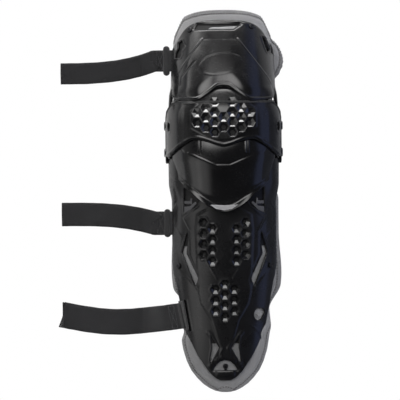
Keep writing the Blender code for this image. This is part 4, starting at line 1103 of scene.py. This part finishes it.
def build_strap(name, out_deg, end_y, sag):
    bar, along, width = BARS[name]
    path, doubled, centre, heading = strap_path(bar, along, out_deg, end_y, sag)
    count, tail = len(path), 13
    turn = ease(doubled, doubled + 6, np.arange(count))
    across = [along * (1 - k) + np.array([0, 1.0, 0]) * k for k in turn[:-tail]]
    across += [np.array([-heading[1], heading[0], 0])] * tail
    widths = mix(width, width - 0.009, ease(count - 15, count - 12, np.arange(count)))
    rows = smooth_through(np.column_stack([path, across, widths]), 4)
    line, wide, widths = rows[:, :3], rows[:, 3:6], rows[:, 6]
    run = np.append(0, np.cumsum(np.linalg.norm(np.diff(line, axis=0), axis=1)))
    way = np.gradient(line, axis=0)
    way /= np.linalg.norm(way, axis=1)[:, None]
    wide = wide - way * (wide * way).sum(axis=1)[:, None]
    wide /= np.linalg.norm(wide, axis=1)[:, None]
    up = np.cross(way, wide)
    half = STRAP_T / 2
    profile = [(s, 1.0) for s in np.linspace(-0.96, 0.96, 9)] + [(0.99, 0.7), (1.0, 0.0), (0.99, -0.7)]
    profile += [(s, -1.0) for s in np.linspace(0.96, -0.96, 9)] + [(-0.99, -0.7), (-1.0, 0.0), (-0.99, 0.7)]
    points, flat = [], []
    for k in range(len(line)):
        selvedge = 1 + 0.006 * math.sin(run[k] * 2200)
        for s, v in profile:
            bow = 0.00010 * math.sin(run[k] * 90 + s * 3)
            lift = v * half * 0.98 + bow * abs(v)
            points.append(line[k] + wide[k] * s * widths[k] / 2 * selvedge + up[k] * lift)
            flat.append((run[k], s * widths[k] / 2 + (0.05 if v < 0 else 0)))
    ring = len(profile)
    faces = [face[::-1] for face in ring_faces(len(line), ring)]
    faces += [list(range(ring)), [len(points) - 1 - j for j in range(ring)]]
    points = np.array(points)
    points[:, 2] = np.maximum(points[:, 2], 0.00003)
    made = mesh_object(f"{name}_woven", points, faces, f"{name}_body", STRAP, 50)
    layer = made.data.uv_layers.new(name="strap")
    flat = np.array(flat)
    corner = np.zeros(len(made.data.loops), int)
    made.data.loops.foreach_get("vertex_index", corner)
    layer.data.foreach_set("uv", flat[corner].ravel().astype(np.float32))
    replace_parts(made, name)

    def at(distance, side):
        k = int(np.argmin(np.abs(run - distance)))
        return line[k] + wide[k] * side * widths[k] / 2 + up[k] * half * np.sign(up[k][2])

    sewn = run[(doubled - 1) * 4]
    box = [(sewn - 0.002, 0.86), (sewn - 0.013, 0.86), (sewn - 0.013, -0.86), (sewn - 0.002, -0.86)]
    lines = [[at(d, s) for d, s in box + box[:1]], [at(*box[0]), at(*box[2])], [at(*box[1]), at(*box[3])]]
    lines = [np.array([np.array(a) + (np.array(b) - np.array(a)) * t for a, b in zip(part, part[1:])
                       for t in np.linspace(0, 1, 8)]) for part in lines]
    stitches(f"{name}_stitches", lines, lambda _: np.array([0, 0, 1.0]), f"{name}_body", STRAP_THREAD,
             0.0028, 0.0021, 0.00032)
    if name != "ankle_strap":
        build_keeper(name, path, along, width)
    build_hook(f"{name}_hook", centre, heading, width - 0.009, f"{name}_body")


def build_keeper(name, path, along, width):
    """The sewn tab over a strap's two plies, just outside its bar, wider than the strap."""
    near, far = (path[1] + path[15]) / 2, (path[0] + path[16]) / 2
    out = unit(far - near)
    up = np.cross(out, along)
    up = up if up[2] > 0 else -up
    half, thick = width / 2 + (0.0055 if name == "thigh_strap" else 0.0030), PLY / 2 + STRAP_T / 2 + 0.0006
    points, sections, ring = [], 33, 40
    for v in np.linspace(-1, 1, sections):
        fat = max(1 - abs(v) ** 8, 0.02) ** 0.4
        for a in np.linspace(0, 2 * math.pi, ring, endpoint=False):
            c, s = math.cos(a), math.sin(a)
            flat = math.copysign(abs(c) ** 0.4, c) * 0.0046 * fat
            tall = math.copysign(abs(s) ** 0.6, s) * thick * fat
            points.append(near + out * (flat - 0.0002) + up * tall + along * v * half)
    faces = ring_faces(sections, ring)
    faces += [list(range(ring))[::-1], [len(points) - ring + j for j in range(ring)]]
    mesh_object(f"{name}_keeper", points, faces, f"{name}_body", STRETCH, 50)


def build_hook(name, centre, heading, width, body):
    """A flat moulded hook: a bar for the strap, an eye, and a keyhole in a rounded tongue."""
    half, eye = width / 2 + 0.0040, width / 2 + 0.0008
    columns, rows = np.linspace(-0.0012, 0.0212, 57), np.linspace(-half, half, 81)
    u, v = np.meshgrid(columns * 1000, rows * 1000)
    h, e = half * 1000, eye * 1000
    plate = -outside(u, v, [(-1.2, -h), (11.5, -h), (17.5, -8.5), (20.5, -5), (21.2, 0), (20.5, 5),
                            (17.5, 8.5), (11.5, h), (-1.2, h)])
    keep = np.minimum(plate + 0.05, outside(u, v, [(1.2, -e), (6.2, -e), (6.2, e), (1.2, e)]))
    keep = np.minimum(keep, np.hypot(u - 13.5, v) - 3.0)
    keep = np.minimum(keep, np.maximum(np.abs(v) - 1.5, np.abs(u - 17) - 2.2))
    side = np.array([-heading[1], heading[0], 0.0])
    flat = centre + u[..., None] / 1000 * heading + v[..., None] / 1000 * side
    soft = 0.0007 - np.sqrt(0.0007 ** 2 - (0.0007 - np.clip(keep, 0, 0.7) / 1000) ** 2)
    tall = 0.0011 - soft + bead(np.hypot(u - 13.5, v) - 4.6, 0.7, 0.00012)
    top, low = flat + tall[..., None] * (0, 0, 1), flat - (0.0011 - soft)[..., None] * np.array([0, 0, 1])
    verts, faces, source = solid_of(top, low, keep, facing(flat))
    edge = np.clip(keep.ravel()[source] / 3, 0, 1)
    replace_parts(mesh_object(f"{name}_moulded", verts, faces, body, HOOK, 40, edge), name)


build_strap("thigh_strap", 9, 0.1090, 0.0)
build_strap("calf_strap", 9, -0.0765, 0.0)
build_strap("ankle_strap", 34, -0.2090, 0.0090)


# ---- fasteners ----
def lathe(name, outline, centre, way, body, recess=0.0, made_of=None):
    """A turned piece: its outline lists (along, radius), its corners eased, its head dished by `recess`."""
    centre, way, sides = np.array(centre), np.array(way, float), 40
    across = unit(np.cross(way, (0.3, 0.9, 0.2)))
    third = np.cross(way, across)
    rounded = [outline[0]]
    for before, here, after in zip(outline, outline[1:], outline[2:]):
        gaps = [math.dist(here, end) for end in (before, after)]
        reach = [min(0.0004, 0.4 * gap) / max(gap, 1e-9) for gap in gaps]
        if here[1] <= 0 or min(reach) <= 0:
            rounded.append(here)
            continue
        first, last = ([mix(h, e, k) for h, e in zip(here, end)] for end, k in zip((before, after), reach))
        for t in (0.0, 0.33, 0.67, 1.0):
            rounded.append([(1 - t) ** 2 * a + 2 * t * (1 - t) * h + t * t * b
                            for a, h, b in zip(first, here, last)])
    rounded.append(outline[-1])
    if recess:
        along, radius = outline[-2]
        rounded[-1:] = [(along, radius * 0.62), (along - recess, radius * 0.50), (along - recess, 0)]
    points, faces, starts = [], [], []
    for along, radius in rounded:
        starts.append((len(points), radius > 0))
        turn = [centre + way * along + (across * math.cos(a) + third * math.sin(a)) * radius
                for a in np.linspace(0, 2 * math.pi, sides, endpoint=False)]
        points += turn if radius > 0 else [centre + way * along]
    for (a, wide), (b, wide_b) in zip(starts, starts[1:]):
        for k in range(sides):
            j = (k + 1) % sides
            if wide and wide_b:
                faces.append([a + k, b + k, b + j, a + j])
            elif wide:
                faces.append([a + k, b, a + j])
            elif wide_b:
                faces.append([a, b + k, b + j])
    made = mesh_object(f"{name}_turned", points, faces, body, made_of or METAL, 35)
    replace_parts(made, name)


RIVET = [(-0.0034, 0), (-0.0034, 0.0018), (0.0009, 0.0018), (0.0009, 0.0037), (0.0014, 0.0036),
         (0.0021, 0.0024), (0.0022, 0)]
PIVOT = [(0.0670, 0), (0.0670, 0.0048), (0.0681, 0.0048), (0.0681, 0.0025), (0.0763, 0.0025), (0.0763, 0.0058),
         (0.0770, 0.0058), (0.0777, 0.0041), (0.0777, 0)]
WASHER = [(0.0718, 0.0029), (0.0718, 0.0065), (0.0727, 0.0065), (0.0727, 0.0029), (0.0718, 0.0029)]


def peg(base, depth=0.0040):
    return [(-depth, 0), (-depth, base), (0.0006 - depth, base), (0.0006 - depth, 0.0013), (-0.0008, 0.0013),
            (-0.0008, 0.0020), (0.0004, 0.0018), (0.0006, 0)]


def fasten(name, surface, a, b, outline, body, recess=0.0006, made_of=None):
    lathe(name, outline, surface(a, b), normal_of(surface, a, b), body, recess, made_of)


def clip(height):
    base = -LINER_DROP
    return [(base - 0.0026, 0), (base - 0.0026, 0.0015), (base + 0.0006, 0.0015), (base + 0.0006, 0.0036),
            (base + height, 0.0032), (base + height, 0)]


def build_fasteners():
    for side, place in THIGH_RIVETS.items():
        fasten(f"thigh_rivet_{side}", thigh_surface, *place, RIVET, "thigh")
    fasten("top_catch", thigh_surface, 0.0570, 0.0985, peg(0.0040, 0.0058), "thigh", 0.0)
    for side, sign in (("left", -1), ("right", 1)):
        fasten(f"shin_rivet_{side}", shin_surface, sign * 0.0600, -0.1450, RIVET, "shin")
        fasten(f"liner_clip_{side}", shin_surface, sign * 0.0455, -0.0640, clip(0.0026), "shin")
        for level, pivot_y in (("upper", UPPER_PIVOT_Y), ("lower", LOWER_PIVOT_Y)):
            middle = (0, pivot_y, PIVOT_Z)
            lathe(f"{level}_pivot_{side}", PIVOT, middle, (sign, 0, 0), "knee", 0.0006)
            lathe(f"{level}_washer_{side}", WASHER, middle, (sign, 0, 0), "knee")
    fasten("liner_post", shin_surface, 0.0, -0.2775, clip(0.0036), "shin")
    fasten("bottom_catch", shin_surface, 0.0440, -0.2105, peg(0.0073), "shin", 0.0, INSERT)
    lathe("middle_catch", peg(0.0048), (shin_width(-0.0780), -0.0780, 0.0260), (1, 0, 0), "shin")


build_fasteners()
for name in ("cup_post_left", "cup_post_right"):
    bpy.data.objects[name].data.materials[0] = HOOK


# ---- camera, light and floor ----
EYE = (-0.0314, -0.0589, 6.45)
LENS, ROLL_DEG = 440, -0.5


def build_camera():
    lens = bpy.data.cameras.new("camera")
    lens.lens, lens.sensor_width = LENS, 36
    eye = bpy.data.objects.new("camera", lens)
    eye.location = Vector(ROOT) + Vector(EYE)
    eye.rotation_euler = (0, 0, math.radians(ROLL_DEG))
    bpy.context.scene.collection.objects.link(eye)
    bpy.context.scene.camera = eye
    bpy.context.scene.view_settings.view_transform = "Standard"


def seen_white(tree, behind, output):
    """What the camera sees is plain white; reflections and light use `behind`."""
    white = node(tree, "ShaderNodeEmission", Color=(1, 1, 1, 1), Strength=1.0)
    choose = node(tree, "ShaderNodeMixShader")
    tree.links.new(node(tree, "ShaderNodeLightPath").outputs["Is Camera Ray"], choose.inputs[0])
    tree.links.new(behind, choose.inputs[1])
    tree.links.new(white.outputs[0], choose.inputs[2])
    tree.links.new(choose.outputs[0], output)


def build_floor():
    corners = [(3.0 * x, 3.0 * y, 0) for x, y in ((-1, -1), (1, -1), (1, 1), (-1, 1))]
    mesh = bpy.data.meshes.new("floor")
    mesh.from_pydata(corners, [], [(0, 1, 2, 3)])
    paper, tree, shader, here = shader_of("floor_paper", (0.5, 0.5, 0.5), 0.9)
    axes = node(tree, "ShaderNodeSeparateXYZ")
    tree.links.new(here, axes.inputs[0])
    # Painted light: for reflections and bounced light the floor's colour is a soft bright diagonal band toward
    # -X and +Y, dark on either side of it; the camera sees plain white.
    aside = joined(tree, "SUBTRACT", times(tree, axes.outputs[0], 0.7), times(tree, axes.outputs[1], 0.7))
    lit = times(tree, spread(tree, aside, 1, 0, -0.12, 0.12), spread(tree, aside, 0, 1, -0.70, -0.25))
    paint(tree, shader, lit, (0.06, 0.065, 0.08), (0.65, 0.65, 0.65))
    seen_white(tree, shader.outputs[0], tree.nodes["Material Output"].inputs["Surface"])
    mesh.materials.append(paper)
    floor = bpy.data.objects.new("floor", mesh)
    floor.location = (0, 0, -0.0005)
    bpy.context.scene.collection.objects.link(floor)


def build_sky():
    """Soft sources on a dark sky: low panels ahead, left and between them, glows higher up, dim blue right."""
    world = bpy.data.worlds.new("studio")
    world.use_nodes = True
    tree = world.node_tree
    way = node(tree, "ShaderNodeTexCoord").outputs["Generated"]
    axes = node(tree, "ShaderNodeSeparateXYZ")
    tree.links.new(way, axes.inputs[0])
    x, y, z = axes.outputs

    def rise(value, low, high):
        made = node(tree, "ShaderNodeMapRange", interpolation_type="SMOOTHSTEP", From_Min=low, From_Max=high)
        tree.links.new(value, made.inputs["Value"])
        return made.outputs["Result"]

    def panel(along, start, full, low, high, strength, soft=0.08):
        top = joined(tree, "SUBTRACT", 1.0, rise(z, high - soft, high + soft))
        return times(tree, rise(along, start, full), rise(z, low - 0.06, low + 0.04), top, strength)

    def glow(aim, spread_deg, strength):
        towards = node(tree, "ShaderNodeVectorMath", operation="DOT_PRODUCT")
        towards.inputs[1].default_value = Vector(aim).normalized()
        tree.links.new(way, towards.inputs[0])
        return times(tree, rise(towards.outputs["Value"], math.cos(math.radians(spread_deg)), 1.0), strength)

    left = times(tree, x, -1.0)
    ahead = plus(tree, times(tree, y, 0.99), times(tree, x, -0.12))
    corner = plus(tree, times(tree, y, 0.80), times(tree, x, -0.60))
    total = plus(tree, 0.02, panel(ahead, 0.76, 0.95, -0.05, 0.23, 10.0), glow((-0.20, 0.48, 0.85), 27, 4.4),
                 glow((-0.05, 0.86, 0.50), 13, 0.5), panel(left, 0.35, 0.80, -0.30, 0.50, 0.25),
                 glow((-0.74, -0.33, 0.59), 20, 1.1), glow((-0.46, -0.36, 0.81), 18, 0.9),
                 panel(corner, 0.58, 0.98, -0.30, 0.10, 2.6, 0.14))
    main = node(tree, "ShaderNodeBackground", Color=(1, 0.99, 0.98, 1))
    tree.links.new(total, main.inputs["Strength"])
    cool = node(tree, "ShaderNodeBackground", Color=(0.42, 0.52, 1.0, 1))
    tree.links.new(panel(x, 0.35, 0.80, -0.30, 0.45, 0.50), cool.inputs["Strength"])
    both = node(tree, "ShaderNodeAddShader")
    tree.links.new(main.outputs[0], both.inputs[0])
    tree.links.new(cool.outputs[0], both.inputs[1])
    seen_white(tree, both.outputs[0], tree.nodes["World Output"].inputs["Surface"])
    bpy.context.scene.world = world


def soft_sun(name, lean, turn, angle, strength, only=()):
    """A broad soft light that plastic doesn't mirror, or a glint on a few pieces `only`."""
    lamp = bpy.data.lights.new(name, "SUN")
    lamp.angle, lamp.energy = math.radians(angle), strength
    made = bpy.data.objects.new(name, lamp)
    made.rotation_euler = (math.radians(lean), 0, math.radians(turn))
    made.visible_glossy = bool(only)
    bpy.context.scene.collection.objects.link(made)
    if only:
        lit = bpy.data.collections.new(name + "_pieces")
        for piece in only:
            lit.objects.link(bpy.data.objects[piece])
        made.light_linking.receiver_collection = lit


build_camera()
build_floor()
build_sky()
soft_sun("overhead_fill", -25, 15, 70, 1.0)
soft_sun("vent_glint", 64, 180, 32, 0.75, ("shin_vents", "knee_vents"))
soft_sun("left_fill", 60, -90, 60, 0.55)
soft_sun("right_fill", 62, 90, 60, 1.8)
